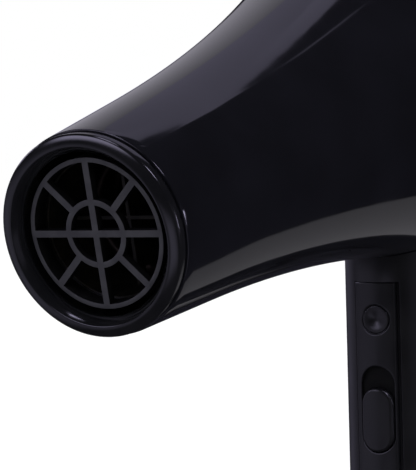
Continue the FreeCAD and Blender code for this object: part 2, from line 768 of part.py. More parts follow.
def make_motor():
    turned_node("motor_can", [
        ("can_bore", "motor_front"), ("motor_radius", "motor_front"), ("motor_radius", "motor_rear"),
        ("boss_outer", "motor_rear"), ("boss_outer", "motor_rear + cup_floor - 0.4"),
        ("boss_bore", "motor_rear + cup_floor - 0.4"), ("boss_bore", "motor_rear - motor_wall"),
        ("can_bore", "motor_rear - motor_wall"),
    ])
    can = nodes[-1]
    extrude(can, "screw_holes", "XY_Plane",
            [("motor_radius * 0.6", "0", "screw_radius + fine_slack"),
             ("0 - motor_radius * 0.6", "0", "screw_radius + fine_slack")],
            "motor_rear - motor_wall - 1", "motor_wall + 2", removes=True)
    magnet_ends = ("motor_front + 5.5", "motor_rear - motor_wall - 2.5")
    magnets = []
    for index, side in enumerate(("", "0 - ")):
        # each magnet is the arc of a tube within 66 degrees of the X axis
        tube = in_barrel(new_body(f"magnet_tube_{index}"))
        revolve(tube, tube_corners("magnet_bore", "magnet_radius", *magnet_ends))
        wedge = in_barrel(new_body(f"magnet_wedge_{index}"))
        reach = "motor_radius * 1.2"
        corners = [("0", "0"), (f"{side}{reach} * cos(66)", f"0 - {reach} * sin(66)"),
                   (f"{side}{reach} * 1.3", "0"), (f"{side}{reach} * cos(66)", f"{reach} * sin(66)")]
        extrude(wedge, "wedge", "XY_Plane", [corners], magnet_ends[0], "motor_length")
        magnets.append(common(f"magnet_{index}", tube, wedge))
    node(group("motor_magnets", magnets), "motor_magnets")
    turned_node("motor_end_cap", [
        ("boss_bore", "motor_front - 2"), ("boss_outer + 1", "motor_front - 2"),
        ("boss_outer + 1", "motor_front - 0.6"), ("motor_radius - 0.1", "motor_front - 0.6"),
        ("motor_radius - 0.1", "motor_front"), ("can_bore - slack", "motor_front"),
        ("can_bore - slack", "motor_front + 2"), ("boss_bore", "motor_front + 2"),
    ])
    bushes = []
    for index, front in enumerate(("motor_front - 1.8", "motor_rear - motor_wall")):
        bush = in_barrel(new_body(f"bush_{index}"))
        revolve(bush, tube_corners("shaft_radius + fine_slack", "bush_radius", front,
                                   f"{front} + bush_length - 0.4"))
        bushes.append(bush)
    node(group("motor_bushes", bushes), "motor_bushes")
    screws = [
        barrel_screw(f"motor_screw_{index}", f"{side}motor_radius * 0.6", "0",
                     "motor_rear - motor_wall", "cup_rear", "1.2")
        for index, side in enumerate(("", "0 - "))
    ]
    node(group("motor_screws", screws), "motor_screws")
    terminals = [
        in_barrel(block(f"terminal_{index}", ("0", "0.8"), ("0", "2.4"), ("0", "3.4")),
                  f"{side}7.5 - 0.4", "0 - 1.2", "motor_front - 4")
        for index, side in enumerate(("", "0 - "))
    ]
    node(group("motor_terminals", terminals), "motor_terminals")


def make_rectifier():
    board = in_barrel(new_body("rectifier_board"))
    extrude(board, "board", "XY_Plane", [("0", "0", "motor_radius - 2")],
            "motor_front - 5.6", "1.6")
    node(board, "rectifier_board")
    diodes = []
    for index, (across, down) in enumerate(((-5, -3), (5, -3), (-5, 3), (5, 3))):
        diodes.append(barrel_rod(f"diode_{index}", "1.3", str(across), str(down),
                                 "motor_front - 10.7", "motor_front - 5.7"))
    node(group("rectifier_diodes", diodes), "rectifier_diodes")


def make_rotor():
    bore = "shaft_radius + fine_slack"
    turned_node("motor_shaft", box_corners("0", "shaft_radius", "motor_front - 1.8", "hub_rear - 2"))
    stack = in_barrel(new_body("motor_armature"))
    revolve(stack, tube_corners(bore, "stack_radius", "stack_front", "stack_rear"))
    slot = extrude(stack, "slot", "XY_Plane",
                   [box_corners("stack_radius * 0.55", "stack_radius + 1", "0 - 0.9", "0.9")],
                   "stack_front - 1", "stack_length + 2", removes=True)
    repeat(stack, slot, "5")
    node(stack, "motor_armature")
    ends = []
    for index, front in enumerate(("stack_front - 2.1", "stack_rear + slack")):
        end = in_barrel(new_body(f"end_turns_{index}"))
        revolve(end, tube_corners("stack_radius * 0.35", "stack_radius * 0.9", front, f"{front} + 2"))
        ends.append(end)
    node(group("armature_windings", ends), "armature_windings")
    turned_node("commutator", tube_corners(bore, "3", "motor_front + 2.3", "stack_front - slack"))


def make_fan():
    body = in_barrel(new_body("fan_impeller"))
    bore = "shaft_radius + fine_slack"
    revolve(body, [
        (bore, "hub_front"), ("hub_radius", "hub_front"), ("hub_radius", "hub_rear - 3"),
        ("hub_radius - 3", "hub_rear", "3"), (bore, "hub_rear"),
    ], "hub")
    base = "hub_front + 1.2"
    corners = box_corners("hub_radius - 0.4", "fan_radius", base, f"{base} + blade_thick")
    blade = sweep_helix(body, "blade", lambda sketch: draw_outline(sketch, corners),
                        "blade_pitch", "blade_rise")
    repeat(body, blade, "blade_count")
    node(body, "fan_impeller")


# ---- intake ----

def make_intake_guard():
    body = in_barrel(new_body("intake_guard"))
    rim = "duct_bore + 3.2"
    revolve(body, tube_corners("duct_bore + 0.3", rim, "housing_rear", "guard_rear"))
    spoke = extrude(body, "spoke", "XY_Plane",
                    [box_corners("6", "duct_bore + 0.6", "0 - 0.7", "0.7")], "housing_rear", "guard_depth")
    repeat(body, spoke, "8")
    for index, share in enumerate((0.2, 0.47, 0.74)):
        middle = f"duct_bore * {share}"
        extrude(body, f"ring_{index}", "XY_Plane",
                [("0", "0", f"{middle} + 0.7"), ("0", "0", f"{middle} - 0.7")],
                "housing_rear", "guard_depth")
    node(body, "intake_guard")


def make_rear_cover():
    body = in_barrel(new_body("rear_cover"))
    shoulder = "cover_radius - cover_curve * 0.75"
    crown = "cover_radius * 0.3"
    revolve(body, [
        ("skirt_radius - 1.2", "skirt_front"),
        ("skirt_radius", "skirt_front"),
        ("skirt_radius", "cover_front"),
        ("cover_radius", "cover_front"),
        ("cover_radius", "cover_front + 3"),
        (shoulder, "cover_rear - 2", "cover_curve * 0.86"),
        (crown, "cover_rear", "cover_radius * 3"),
        ("0", "cover_rear"),
        ("0", "cover_rear - cover_wall"),
        (crown, "cover_rear - cover_wall"),
        (f"{shoulder} - 0.4", "cover_rear - 2 - cover_wall", "0 - cover_radius * 3"),
        ("skirt_radius - 2.2", "cover_front + 2.6", "0 - cover_curve * 0.86"),
        ("skirt_radius - 2.2", "skirt_front + mesh_thick + 0.4"),
        ("skirt_radius - 1.2", "skirt_front + mesh_thick + 0.4"),
    ])
    rows = (("outer", "cover_radius * 0.58", "cover_radius - 5.2", "outer_slots"),
            ("inner", "cover_radius * 0.26", "cover_radius * 0.5", "inner_slots"))
    for name, near, far, count in rows:
        slot = extrude(body, name, "XY_Plane",
                       [box_corners(near, far, "0 - slot_width / 2", "slot_width / 2")],
                       "cover_front + 3.4", "cover_rise", removes=True)
        repeat(body, slot, count)
    node(body, "rear_cover")
    turned_node("filter_mesh", box_corners("0", "skirt_radius - 1.2 - slack", "skirt_front + 0.3",
                                           "skirt_front + 0.3 + mesh_thick"))


# ---- handle ----

def make_handle_shell():
    outside = oval_prism("grip_outside", "grip_half_width", "grip_half_depth", "cap_depth", "neck_top")
    inside = oval_prism("grip_inside", "inner_half_width", "inner_half_depth", "0", "neck_top + 1")
    opening = block("panel_opening",
                    ("0 - panel_half_width - slack", "panel_half_width + slack"),
                    ("0 - grip_half_depth - 1", "panel_inner + 3"),
                    ("panel_bottom - slack", "panel_top + slack"))
    tube = cut("grip_tube", outside, inside, opening, barrel_solid("barrel_envelope", "neck_seam"))
    column = deep_rod("grip_column", "column_radius", "0", "column_end + slack",
                      "grip_half_depth - grip_wall / 2", "column_height")
    holes = [
        deep_rod("column_hole", "screw_radius + slack", "0", "0", "grip_half_depth + 1", "column_height"),
        deep_rod("column_counterbore", "head_radius + slack", "0", "grip_half_depth - head_depth - 0.4",
                 "grip_half_depth + 1", "column_height"),
        deep_rod("neck_hole_grip", "screw_radius + slack", "0", "0", "grip_half_depth + 1",
                 "neck_screw_height"),
        deep_rod("neck_counterbore", "head_radius + slack", "0", "grip_half_depth - 0.9",
                 "grip_half_depth + 1", "neck_screw_height"),
    ]
    shell = cut("handle_shell", fuse("grip_with_column", tube, column), *holes)
    node(shell, "handle_shell")


def pill_prism(name, half, bottom, top, front, rear):
    # an upright pill, extruded along Y between front and rear
    body = new_body(name)
    extrude(body, "pill", "XZ_Plane", [pill_corners(half, bottom, top)], f"0 - ({rear})",
            f"({rear}) - ({front})")
    return body


def make_front_panel():
    slab = block("panel_slab", ("0 - panel_half_width", "panel_half_width"),
                 ("0 - grip_half_depth - 1", "panel_inner"), ("panel_bottom", "panel_top"))
    round_face = oval_prism("panel_face", "grip_half_width", "grip_half_depth", "0", "panel_top + 1")
    blank = common("panel_blank", slab, round_face)
    additions = [
        block("panel_upper_tongue", ("0 - tongue_half", "tongue_half"), ("tongue_face", "panel_inner"),
              ("panel_top - 2", "panel_top + tongue_length")),
        block("panel_lower_tongue", ("0 - tongue_half", "tongue_half"), ("tongue_face", "panel_inner"),
              ("panel_bottom - tongue_length", "panel_bottom + 2")),
        deep_rod("panel_column", "column_radius", "0", "panel_inner - 0.5", "column_end", "column_height"),
        deep_rod("circuit_post_low", "1.7", "0", "panel_inner - 0.5", "circuit_front",
                 "circuit_bottom + 2.1"),
        deep_rod("circuit_post_high", "1.7", "0", "panel_inner - 0.5", "circuit_front",
                 "switch_top + 4.5"),
    ]
    edge = "panel_half_width - panel_groove"
    groove_floor = "0 - grip_half_depth * sqrt(1 - (panel_half_width / grip_half_width)^2) + panel_groove"
    front = "0 - grip_half_depth - 1"
    removals = [
        pill_prism("slot_recess", "slot_half", "slot_bottom", "slot_bottom + slot_length", front,
                   "slot_floor"),
        block("lever_slot", ("0 - 1.5", "1.5"), (front, "panel_inner + 1"),
              ("knob_middle - 2.4", "knob_middle + 2.4 + slide_travel")),
        deep_rod("button_hole", "button_radius + slack * 1.5", "0", front, "panel_inner + 1",
                 "button_height"),
        deep_rod("column_pilot", "screw_radius + fine_slack", "0", "panel_inner + 1", "column_end + 1",
                 "column_height"),
    ]
    for name, height in (("low", "circuit_bottom + 2.1"), ("high", "switch_top + 4.5")):
        removals.append(deep_rod(f"circuit_pilot_{name}", "0.8 + fine_slack", "0", "panel_inner",
                                 "circuit_front + 1", height))
    for name, low, high in (("left", "0 - panel_half_width - 1", f"0 - ({edge})"),
                            ("right", edge, "panel_half_width + 1")):
        removals.append(block(f"panel_groove_{name}", (low, high), (front, groove_floor),
                              ("panel_bottom - 1", "panel_top + 1")))
    dish = doc.addObject("Part::Cone", "button_dish")
    bind(dish, "Radius1", "button_radius + slack * 1.5 + dish_width")
    bind(dish, "Radius2", "button_radius + slack * 1.5")
    bind(dish, "Height", "dish_depth")
    dish.Placement = Placement(Vector(), Rotation(Vector(1, 0, 0), -90))
    place(dish, "0", "0 - grip_half_depth + 0.1", "button_height")
    removals.append(dish)
    node(cut("handle_front_panel", fuse("panel_with_posts", blank, *additions), *removals),
         "handle_front_panel")


def make_end_cap():
    plate = oval_prism("cap_plate", "grip_half_width", "grip_half_depth", "0", "cap_depth")
    doc.recompute()
    rounded = doc.addObject("Part::Fillet", "cap_rounded")
    rounded.Base = plate
    bottom_edge = min(range(len(plate.Shape.Edges)),
                      key=lambda index: (plate.Shape.Edges[index].CenterOfMass.z,
                                         -plate.Shape.Edges[index].Length))
    radius = number("cap_edge")
    rounded.Edges = [(bottom_edge + 1, radius, radius)]
    outside = oval_prism("spigot_outside", "inner_half_width - slack", "inner_half_depth - slack",
                         "cap_depth", "spigot_top")
    inside = oval_prism("spigot_inside", "inner_half_width - slack - spigot_wall",
                        "inner_half_depth - slack - spigot_wall", "cap_depth", "spigot_top + 1")
    posts = []
    pilots = [upright_rod("gland_hole", "gland_radius + slack", "0", "0", "0 - 1", "cap_depth + 1")]
    for index, side in enumerate(("", "0 - ")):
        posts.append(upright_rod(f"post_{index}", "post_radius", f"{side}post_reach", "0",
                                 "cap_depth - 1", "post_top"))
        pilots.append(upright_rod(f"post_pilot_{index}", "screw_radius + fine_slack",
                                  f"{side}post_reach", "0", "cap_depth + 2", "post_top + 1"))
    spigot = cut("cap_spigot", outside, inside)
    node(cut("handle_end_cap", fuse("cap_body", rounded, spigot, *posts), *pilots), "handle_end_cap")


def make_cord_inlet():
    gland = new_body("cord_gland")
    revolve(gland, [
        ("inlet_radius", "0"), ("gland_radius", "0"), ("gland_radius", "cap_depth + slack"),
        ("gland_radius + 1", "cap_depth + slack"), ("gland_radius + 1", "cap_depth + 2"),
        ("gland_radius", "cap_depth + 2"), ("gland_radius", "gland_length"),
        ("inlet_radius", "gland_length"),
    ])
    node(gland, "cord_gland")
    retainer = new_body("cord_retainer")
    half = "post_reach + post_radius * 0.9"
    extrude(retainer, "plate", "XY_Plane",
            [box_corners(f"0 - ({half})", half, "0 - gland_radius", "gland_radius"),
             ("0", "0", "inlet_radius + run_slack"),
             ("post_reach", "0", "screw_radius + slack"),
             ("0 - post_reach", "0", "screw_radius + slack")],
            "post_top", "retainer_thick")
    node(retainer, "cord_retainer")
    screws = []
    for index, side in enumerate(("", "0 - ")):
        screw = place(new_body(f"retainer_screw_{index}"), f"{side}post_reach")
        revolve(screw, [
            ("0", "cap_depth + 4"), ("screw_radius", "cap_depth + 4"),
            ("screw_radius", "post_top + retainer_thick"), ("head_radius", "post_top + retainer_thick"),
            ("head_radius", "post_top + retainer_thick + head_depth"),
            ("0", "post_top + retainer_thick + head_depth"),
        ])
        screws.append(screw)
    node(group("cord_retainer_screws", screws), "cord_retainer_screws")


def deep_screw(name, high, tip, seat_depth, shank="screw_radius", head="head_radius",
               head_depth="head_depth"):
    # a screw along Y with its head at the back
    return fuse(name, deep_rod(f"{name}_shank", shank, "0", tip, f"{seat_depth} + 0.2", high),
                deep_rod(f"{name}_head", head, "0", seat_depth, f"{seat_depth} + {head_depth}", high))


def make_handle_screws():
    node(deep_screw("handle_screw", "column_height", "panel_inner + 3",
                    "grip_half_depth - head_depth - 0.4"), "handle_screw")
    node(deep_screw("neck_screw", "neck_screw_height", "inner_half_depth - shell_wall - 1",
                    "grip_half_depth - 0.9", head_depth="0.8"), "neck_screw")


# ---- controls ----

def make_speed_slider():
    pill = pill_prism("knob_pill", "knob_half", "knob_bottom", "knob_bottom + knob_length",
                      "0 - grip_half_depth - knob_proud - 1", "slot_floor - slack")
    face = oval_prism("knob_face", "grip_half_width + knob_proud", "grip_half_depth + knob_proud",
                      "0", "panel_top")
    node(common("slider_knob", pill, face), "slider_knob")
    node(block("switch_lever", ("0 - 1.2", "1.2"), ("slot_floor - slack", "switch_front + 1.8"),
               ("knob_middle - 2", "knob_middle + 2")), "switch_lever")
    case = block("switch_case", ("0 - switch_half", "switch_half"), ("switch_front", "switch_rear"),
                 ("switch_bottom", "switch_top"))
    well = block("switch_well", ("0 - 1.5", "1.5"), ("switch_front - 1", "switch_front + 2.1"),
                 ("knob_middle - 2.4", "knob_middle + 2.4 + slide_travel"))
    node(cut("slide_switch", case, well), "slide_switch")


def make_cool_button():
    face = "button_recess - grip_half_depth"
    cap = fuse("cool_shot_button",
               deep_rod("button_cap", "button_radius", "0", face, "button_flange + 0.5", "button_height"),
               deep_rod("button_skirt", "button_radius + 0.8", "0", "button_flange",
                        "button_flange + 1", "button_height"))
    node(cap, "cool_shot_button")
    node(deep_rod("switch_plunger", "1.5", "0", "button_flange + 1", "plunger_end", "button_height"),
         "switch_plunger")
    case = block("micro_case", ("0 - 3", "3"), ("micro_front", "circuit_front - slack"),
                 ("button_height - 3", "button_height + 3"))
    well = deep_rod("micro_well", "1.7", "0", "micro_front - 1", "micro_front + button_travel + 0.3",
                    "button_height")
    node(cut("micro_switch", case, well), "micro_switch")


def make_circuit():
    heights = ("circuit_bottom + 2.1", "switch_top + 4.5")
    plate = block("circuit_plate", ("0 - circuit_half", "circuit_half"),
                  ("circuit_front", "circuit_rear"), ("circuit_bottom", "circuit_top"))
    holes = [deep_rod(f"circuit_hole_{index}", "0.8 + slack", "0", "circuit_front - 1",
                      "circuit_rear + 1", height) for index, height in enumerate(heights)]
    node(cut("control_board", plate, *holes), "control_board")
    screws = [deep_screw(f"circuit_screw_{index}", height, "panel_inner + 2", "circuit_rear",
                         "0.8", "1.5", "1.1") for index, height in enumerate(heights)]
    node(group("board_screws", screws), "board_screws")
    leads = [upright_rod(f"lead_{index}", "0.9", across, "lead_deep", "switch_top + 2", "lead_top")
             for index, across in enumerate(("3.6", "0 - 3.6"))]
    node(group("motor_leads", leads), "motor_leads")


make_barrel_shell()
make_outlet_ring()
make_outlet_grille()
make_heater()
make_duct_cone()
make_motor_housing()
housing_screws = [
    barrel_screw(f"housing_screw_{index}", *ring_spot(turn), "seat - boss_length + 2", "housing_rear")
    for index, turn in enumerate(screw_turns)
]
node(group("motor_housing_screws", housing_screws), "motor_housing_screws")
make_motor()
make_rectifier()
make_rotor()
make_fan()
make_intake_guard()
make_rear_cover()
make_handle_shell()
make_front_panel()
make_end_cap()
make_cord_inlet()
make_handle_screws()
make_speed_slider()
make_cool_button()
make_circuit()
doc.recompute()

failed = [item.Name for item in doc.Objects if {"Invalid", "Error"} & set(item.State)]
failed += [piece.Label for piece in nodes if piece.Shape.isNull() or not piece.Shape.isValid()]
if failed:
    raise RuntimeError(f"these objects failed: {failed}")

os.makedirs("parts", exist_ok=True)
for piece in nodes:
    piece.Shape.exportStep(f"parts/{piece.Label}.step")
    print(piece.Label, len(piece.Shape.Solids), round(piece.Shape.Volume, 1))
print(len(nodes), "nodes")
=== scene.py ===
import json
from math import atan2, cos, hypot, pi, radians, sin, sqrt

import bmesh
import bpy
from mathutils import Matrix, Vector


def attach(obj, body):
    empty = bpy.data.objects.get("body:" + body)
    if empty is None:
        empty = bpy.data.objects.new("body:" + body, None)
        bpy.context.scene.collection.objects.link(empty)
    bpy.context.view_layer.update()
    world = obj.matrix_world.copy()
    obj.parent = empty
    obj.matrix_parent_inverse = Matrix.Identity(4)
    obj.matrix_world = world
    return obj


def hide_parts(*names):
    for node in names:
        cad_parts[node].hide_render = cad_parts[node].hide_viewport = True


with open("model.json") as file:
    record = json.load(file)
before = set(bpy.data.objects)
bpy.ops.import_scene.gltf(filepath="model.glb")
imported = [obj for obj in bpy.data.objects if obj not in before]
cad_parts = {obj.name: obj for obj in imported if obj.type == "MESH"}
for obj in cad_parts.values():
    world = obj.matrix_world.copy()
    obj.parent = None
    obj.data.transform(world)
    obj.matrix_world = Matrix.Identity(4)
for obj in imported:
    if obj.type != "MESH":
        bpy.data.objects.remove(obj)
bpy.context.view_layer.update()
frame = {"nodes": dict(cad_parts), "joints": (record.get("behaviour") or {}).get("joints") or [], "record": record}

mm = 0.001  # the drawings below are in millimetres, the scene is in metres
mergeGap = 0.002 * mm  # points of one piece that lie closer than this become one

# where the barrel lies: its own Z runs back along the fan's axis, its Y points down
fanSpin = [joint for joint in frame["joints"] if joint["name"] == "fan_spin"][0]
fanAxis = Vector(fanSpin["axis"]).normalized()
fanPlace = Vector(fanSpin["pos_m"])
ringFront = min((v.co - fanPlace).dot(fanAxis) for v in frame["nodes"]["outlet_ring"].data.vertices)
outletCentre = fanPlace + fanAxis * ringFront
barrelPlace = (Matrix.Translation(outletCentre)
               @ Matrix.Rotation(atan2(-fanAxis.y, fanAxis.z), 4, "X"))


def pick(piece):
    bpy.ops.object.select_all(action="DESELECT")
    bpy.context.view_layer.objects.active = piece
    piece.select_set(True)


def applyModifier(piece, kind, **settings):
    pick(piece)
    change = piece.modifiers.new("change", kind)
    for key, value in settings.items():
        setattr(change, key, value)
    bpy.ops.object.modifier_apply(modifier=change.name)


def combine(piece, tool, operation):
    applyModifier(piece, "BOOLEAN", object=tool, operation=operation, solver="EXACT")
    bpy.data.objects.remove(tool)


def editPiece(piece):
    pick(piece)
    bpy.ops.object.mode_set(mode="EDIT")
    bpy.ops.mesh.select_mode(type="VERT")


def leaveEdit():
    bpy.ops.object.mode_set(mode="OBJECT")


def choose(piece, kind, test):
    # in edit mode, selects what passes a test on its middle, in millimetres, and on itself
    bpy.ops.mesh.select_all(action="DESELECT")
    bpy.ops.mesh.select_mode(type=kind)
    mesh = bmesh.from_edit_mesh(piece.data)
    for part in {"VERT": mesh.verts, "EDGE": mesh.edges, "FACE": mesh.faces}[kind]:
        if kind == "VERT":
            middle = part.co / mm
        elif kind == "EDGE":
            middle = (part.verts[0].co + part.verts[1].co) / 2 / mm
        else:
            middle = part.calc_center_median() / mm
        if test(middle, part):
            part.select_set(True)
    mesh.select_flush_mode()
    bmesh.update_edit_mesh(piece.data)


def soften(corners, steps=4):
    # a corner (radius, height, reach) becomes a small arc that starts and ends at reach from it
    line = []
    for index, corner in enumerate(corners):
        if len(corner) == 2:
            line.append(corner)
            continue
        here = Vector(corner[:2])
        last, following = corners[index - 1], corners[(index + 1) % len(corners)]
        before = here + (Vector(last[:2]) - here).normalized() * corner[2]
        after = here + (Vector(following[:2]) - here).normalized() * corner[2]
        for step in range(steps + 1):
            share = step / steps
            spot = before * (1 - share) ** 2 + here * 2 * share * (1 - share) + after * share ** 2
            line.append((spot.x, spot.y))
    return line


def turnProfile(name, corners, steps=160, closed=True):
    # draws a line of (radius, height) corners and spins it round Z
    bpy.ops.object.select_all(action="DESELECT")
    bpy.ops.mesh.primitive_plane_add(size=mm, location=(0, 0, 0))
    piece = bpy.context.object
    piece.name = name
    editPiece(piece)
    bpy.ops.mesh.select_all(action="SELECT")
    bpy.ops.mesh.merge(type="CENTER")
    bpy.ops.transform.translate(value=(corners[0][0] * mm, 0, corners[0][1] * mm))
    line = corners + corners[:1] if closed else corners
    for here, there in zip(line, line[1:]):
        step = ((there[0] - here[0]) * mm, 0, (there[1] - here[1]) * mm)
        bpy.ops.mesh.extrude_region_move(TRANSFORM_OT_translate={"value": step})
    bpy.ops.mesh.select_all(action="SELECT")
    bpy.ops.mesh.spin(steps=steps, angle=2 * pi, use_auto_merge=True, center=(0, 0, 0),
                      axis=(0, 0, 1))
    bpy.ops.mesh.select_all(action="SELECT")
    bpy.ops.mesh.remove_doubles(threshold=mergeGap)
    bpy.ops.mesh.normals_make_consistent(inside=False)
    leaveEdit()
    return piece


def place(piece, matrix):
    bpy.context.view_layer.update()
    piece.matrix_world = matrix @ piece.matrix_world
    pick(piece)
    bpy.ops.object.transform_apply(location=True, rotation=True, scale=True)
    return piece


def addBlock(name, low, high):
    bpy.ops.object.select_all(action="DESELECT")
    middle = [(a + b) / 2 * mm for a, b in zip(low, high)]
    bpy.ops.mesh.primitive_cube_add(size=1, location=middle)
    block = bpy.context.object
    block.name = name
    block.scale = [(b - a) * mm for a, b in zip(low, high)]
    return place(block, Matrix())


def settle(piece, body, slotName, *nodes, angle=35, finish=None):
    # the last step of a piece: its shading, its finish, and what it stands for
    pick(piece)
    bpy.ops.object.shade_smooth_by_angle(angle=radians(angle))
    piece.data.materials.clear()
    piece.data.materials.append(finishes[finish or slotName])
    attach(piece, body)
    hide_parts(*nodes)
    print("made", piece.name, len(piece.data.polygons), "faces")
    return piece


def refinish(piece, name, test):
    # gives a second finish to the faces that pass a test
    piece.data.materials.append(finishes[name])
    editPiece(piece)
    choose(piece, "FACE", test)
    piece.active_material_index = len(piece.data.materials) - 1
    bpy.ops.object.material_slot_assign()
    leaveEdit()


def linearColour(text):
    parts = [int(text[start:start + 2], 16) / 255 for start in (1, 3, 5)]
    return tuple(p / 12.92 if p <= 0.04045 else ((p + 0.055) / 1.055) ** 2.4 for p in parts) + (1,)


def addNode(tree, kind, inputs=None, **settings):
    node = tree.nodes.new(kind)
    for key, value in settings.items():
        setattr(node, key, value)
    for key, value in (inputs or {}).items():
        if isinstance(value, bpy.types.NodeSocket):
            tree.links.new(value, node.inputs[key])
        else:
            node.inputs[key].default_value = value
    return node


def moulded(name, look):
    # a surface with two close tones in soft patches, uneven gloss and a fine relief;
    # patch and grain are real sizes in millimetres, relief is its height in millimetres
    material = bpy.data.materials.new(name)
    material.use_nodes = True
    tree = material.node_tree
    shader = tree.nodes["Principled BSDF"]
    spot = addNode(tree, "ShaderNodeTexCoord").outputs["Object"]
    patches = addNode(tree, "ShaderNodeTexNoise", {
        "Vector": spot, "Scale": 1 / (look["patch"] * mm), "Detail": 3.0}).outputs[0]
    grain = addNode(tree, "ShaderNodeTexNoise", {
        "Vector": spot, "Scale": 1 / (look["grain"] * mm),
        "Detail": look.get("detail", 2.0)}).outputs[0]
    spread = addNode(tree, "ShaderNodeMapRange", {"Value": patches, "From Min": 0.35,
                                                  "From Max": 0.65})
    tone = addNode(tree, "ShaderNodeMix", {0: spread.outputs[0], 6: linearColour(look["dark"]),
                                           7: linearColour(look["light"])}, data_type="RGBA")
    gloss = addNode(tree, "ShaderNodeMapRange", {"Value": patches, "From Min": 0.3, "From Max": 0.7,
                                                 "To Min": look["smooth"], "To Max": look["rough"]})
    relief = addNode(tree, "ShaderNodeBump", {"Height": grain, "Distance": look["relief"] * mm,
                                              "Strength": 1.0})
    tree.links.new(tone.outputs[2], shader.inputs["Base Color"])
    tree.links.new(gloss.outputs[0], shader.inputs["Roughness"])
    tree.links.new(relief.outputs[0], shader.inputs["Normal"])
    shader.inputs["Metallic"].default_value = look.get("metal", 0.0)
    if "ior" in look:
        shader.inputs["IOR"].default_value = look["ior"]
    return material, tree, shader, spot


def overlay(tree, shader, mask, colour, height=0.0):
    # lays a second colour, and a step in height, over a finish where the mask is 1
    base = shader.inputs["Base Color"].links[0].from_socket
    mixed = addNode(tree, "ShaderNodeMix", {0: mask, 6: base, 7: linearColour(colour)},
                    data_type="RGBA")
    tree.links.new(mixed.outputs[2], shader.inputs["Base Color"])
    if height:
        under = shader.inputs["Normal"].links[0].from_socket
        step = addNode(tree, "ShaderNodeBump", {"Height": mask, "Distance": height * mm,
                                                "Normal": under, "Strength": 1.0})
        tree.links.new(step.outputs[0], shader.inputs["Normal"])


finishes = {}

# ABS from a polished mould: deep black with a mirror gloss and the faintest waviness
finishes["gloss_black_abs"] = moulded("polished black ABS", {
    "dark": "#0c0c10", "light": "#0f0f14", "patch": 18, "smooth": 0.04, "rough": 0.08,
    "grain": 7, "detail": 0.0, "relief": 0.008, "ior": 1.5})[0]

# the outlet ring's ABS, half polished: a soft mirror on its rounded edges
finishes["ring"] = moulded("half-polished black ABS", {
    "dark": "#0c0c0f", "light": "#101013", "patch": 10, "smooth": 0.09, "rough": 0.17,
    "grain": 0.5, "relief": 0.002, "ior": 1.5})[0]

# painted shade: a dull near-black with hardly any shine, laid where shade falls, on the floor of the switch's
# recess and on the grille's faces behind its front
finishes["paintedShade"], tree, shader, spot = moulded("painted shade black", {
    "dark": "#060607", "light": "#0a0a0b", "patch": 2, "smooth": 0.7, "rough": 0.9,
    "grain": 0.3, "relief": 0.03, "ior": 1.5})
shader.inputs["Specular IOR Level"].default_value = 0.15

# ABS from a spark-etched mould: a dry sheen broken by a grain of a quarter millimetre
finishes["satin_black_abs"] = moulded("etched black ABS", {
    "dark": "#0b0b0f", "light": "#101014", "patch": 9, "smooth": 0.30, "rough": 0.40,
    "grain": 0.28, "relief": 0.006, "ior": 1.5})[0]

# moulded glass-filled nylon: fibres near the surface leave it grey and dull
finishes["matte_black_nylon"] = moulded("glass-filled black nylon", {
    "dark": "#202025", "light": "#29292f", "patch": 3, "smooth": 0.40, "rough": 0.60,
    "grain": 0.4, "relief": 0.02, "ior": 1.53})[0]

# heat-proof PBT as moulded in its natural colour: a dull cream, a little yellowed by heat
finishes["housing_plastic"] = moulded("natural PBT", {
    "dark": "#9b9686", "light": "#b3ae9f", "patch": 14, "smooth": 0.38, "rough": 0.52,
    "grain": 0.5, "relief": 0.015, "ior": 1.55})[0]

# zinc plate on steel: a grey sheen with soft cloudy patches
finishes["zinc_steel"] = moulded("zinc-plated steel", {
    "dark": "#a9adb0", "light": "#c3c6c4", "patch": 5, "smooth": 0.24, "rough": 0.42,
    "grain": 0.6, "relief": 0.008, "metal": 1.0})[0]

# heating wire: drawn bright, then browned and dulled by its own heat
finishes["resistance_wire"] = moulded("oxidised nickel-chrome wire", {
    "dark": "#2e2924", "light": "#4b443c", "patch": 4, "smooth": 0.4, "rough": 0.6,
    "grain": 0.3, "relief": 0.01, "metal": 1.0})[0]

# magnets of ground ferrite: a dry, dark grey with fine pits
finishes["ferrite"] = moulded("ground ferrite", {
    "dark": "#2c2c2e", "light": "#3b3b3d", "patch": 2.5, "smooth": 0.5, "rough": 0.7,
    "grain": 0.25, "relief": 0.02, "detail": 4.0})[0]

# sintered bushes: brown and gold grains with a little oil on them
finishes["bronze"] = moulded("sintered bronze", {
    "dark": "#7d5a30", "light": "#a67c45", "patch": 1.2, "smooth": 0.35, "rough": 0.55,
    "grain": 0.2, "relief": 0.02, "metal": 1.0})[0]

# punched brass: warm and fairly bright, with handling marks
finishes["brass_plate"] = moulded("punched brass", {
    "dark": "#b08d45", "light": "#cbaa60", "patch": 4, "smooth": 0.22, "rough": 0.36,
    "grain": 0.4, "relief": 0.005, "metal": 1.0})[0]

# moulding compound of the switches and small electric parts: a brownish, dull black
finishes["black_phenolic"] = moulded("black moulding compound", {
    "dark": "#141312", "light": "#1f1d1b", "patch": 2, "smooth": 0.4, "rough": 0.55,
    "grain": 0.3, "relief": 0.01})[0]

# nylon moulded in its natural white: a waxy, slightly cloudy surface
finishes["white_nylon"] = moulded("white nylon", {
    "dark": "#d2d1c8", "light": "#e4e3dc", "patch": 12, "smooth": 0.35, "rough": 0.45,
    "grain": 0.5, "relief": 0.01, "ior": 1.53})[0]

# silicone sleeve over the leads: an even red with no mirror in it
finishes["lead_sleeve"] = moulded("red silicone sleeve", {
    "dark": "#7c1a17", "light": "#942420", "patch": 3, "smooth": 0.45, "rough": 0.6,
    "grain": 0.5, "relief": 0.02})[0]

# moulded rubber: a soft black that takes almost no highlight
finishes["black_rubber"] = moulded("black nitrile rubber", {
    "dark": "#121213", "light": "#1b1b1c", "patch": 3, "smooth": 0.6, "rough": 0.75,
    "grain": 0.5, "relief": 0.03})[0]

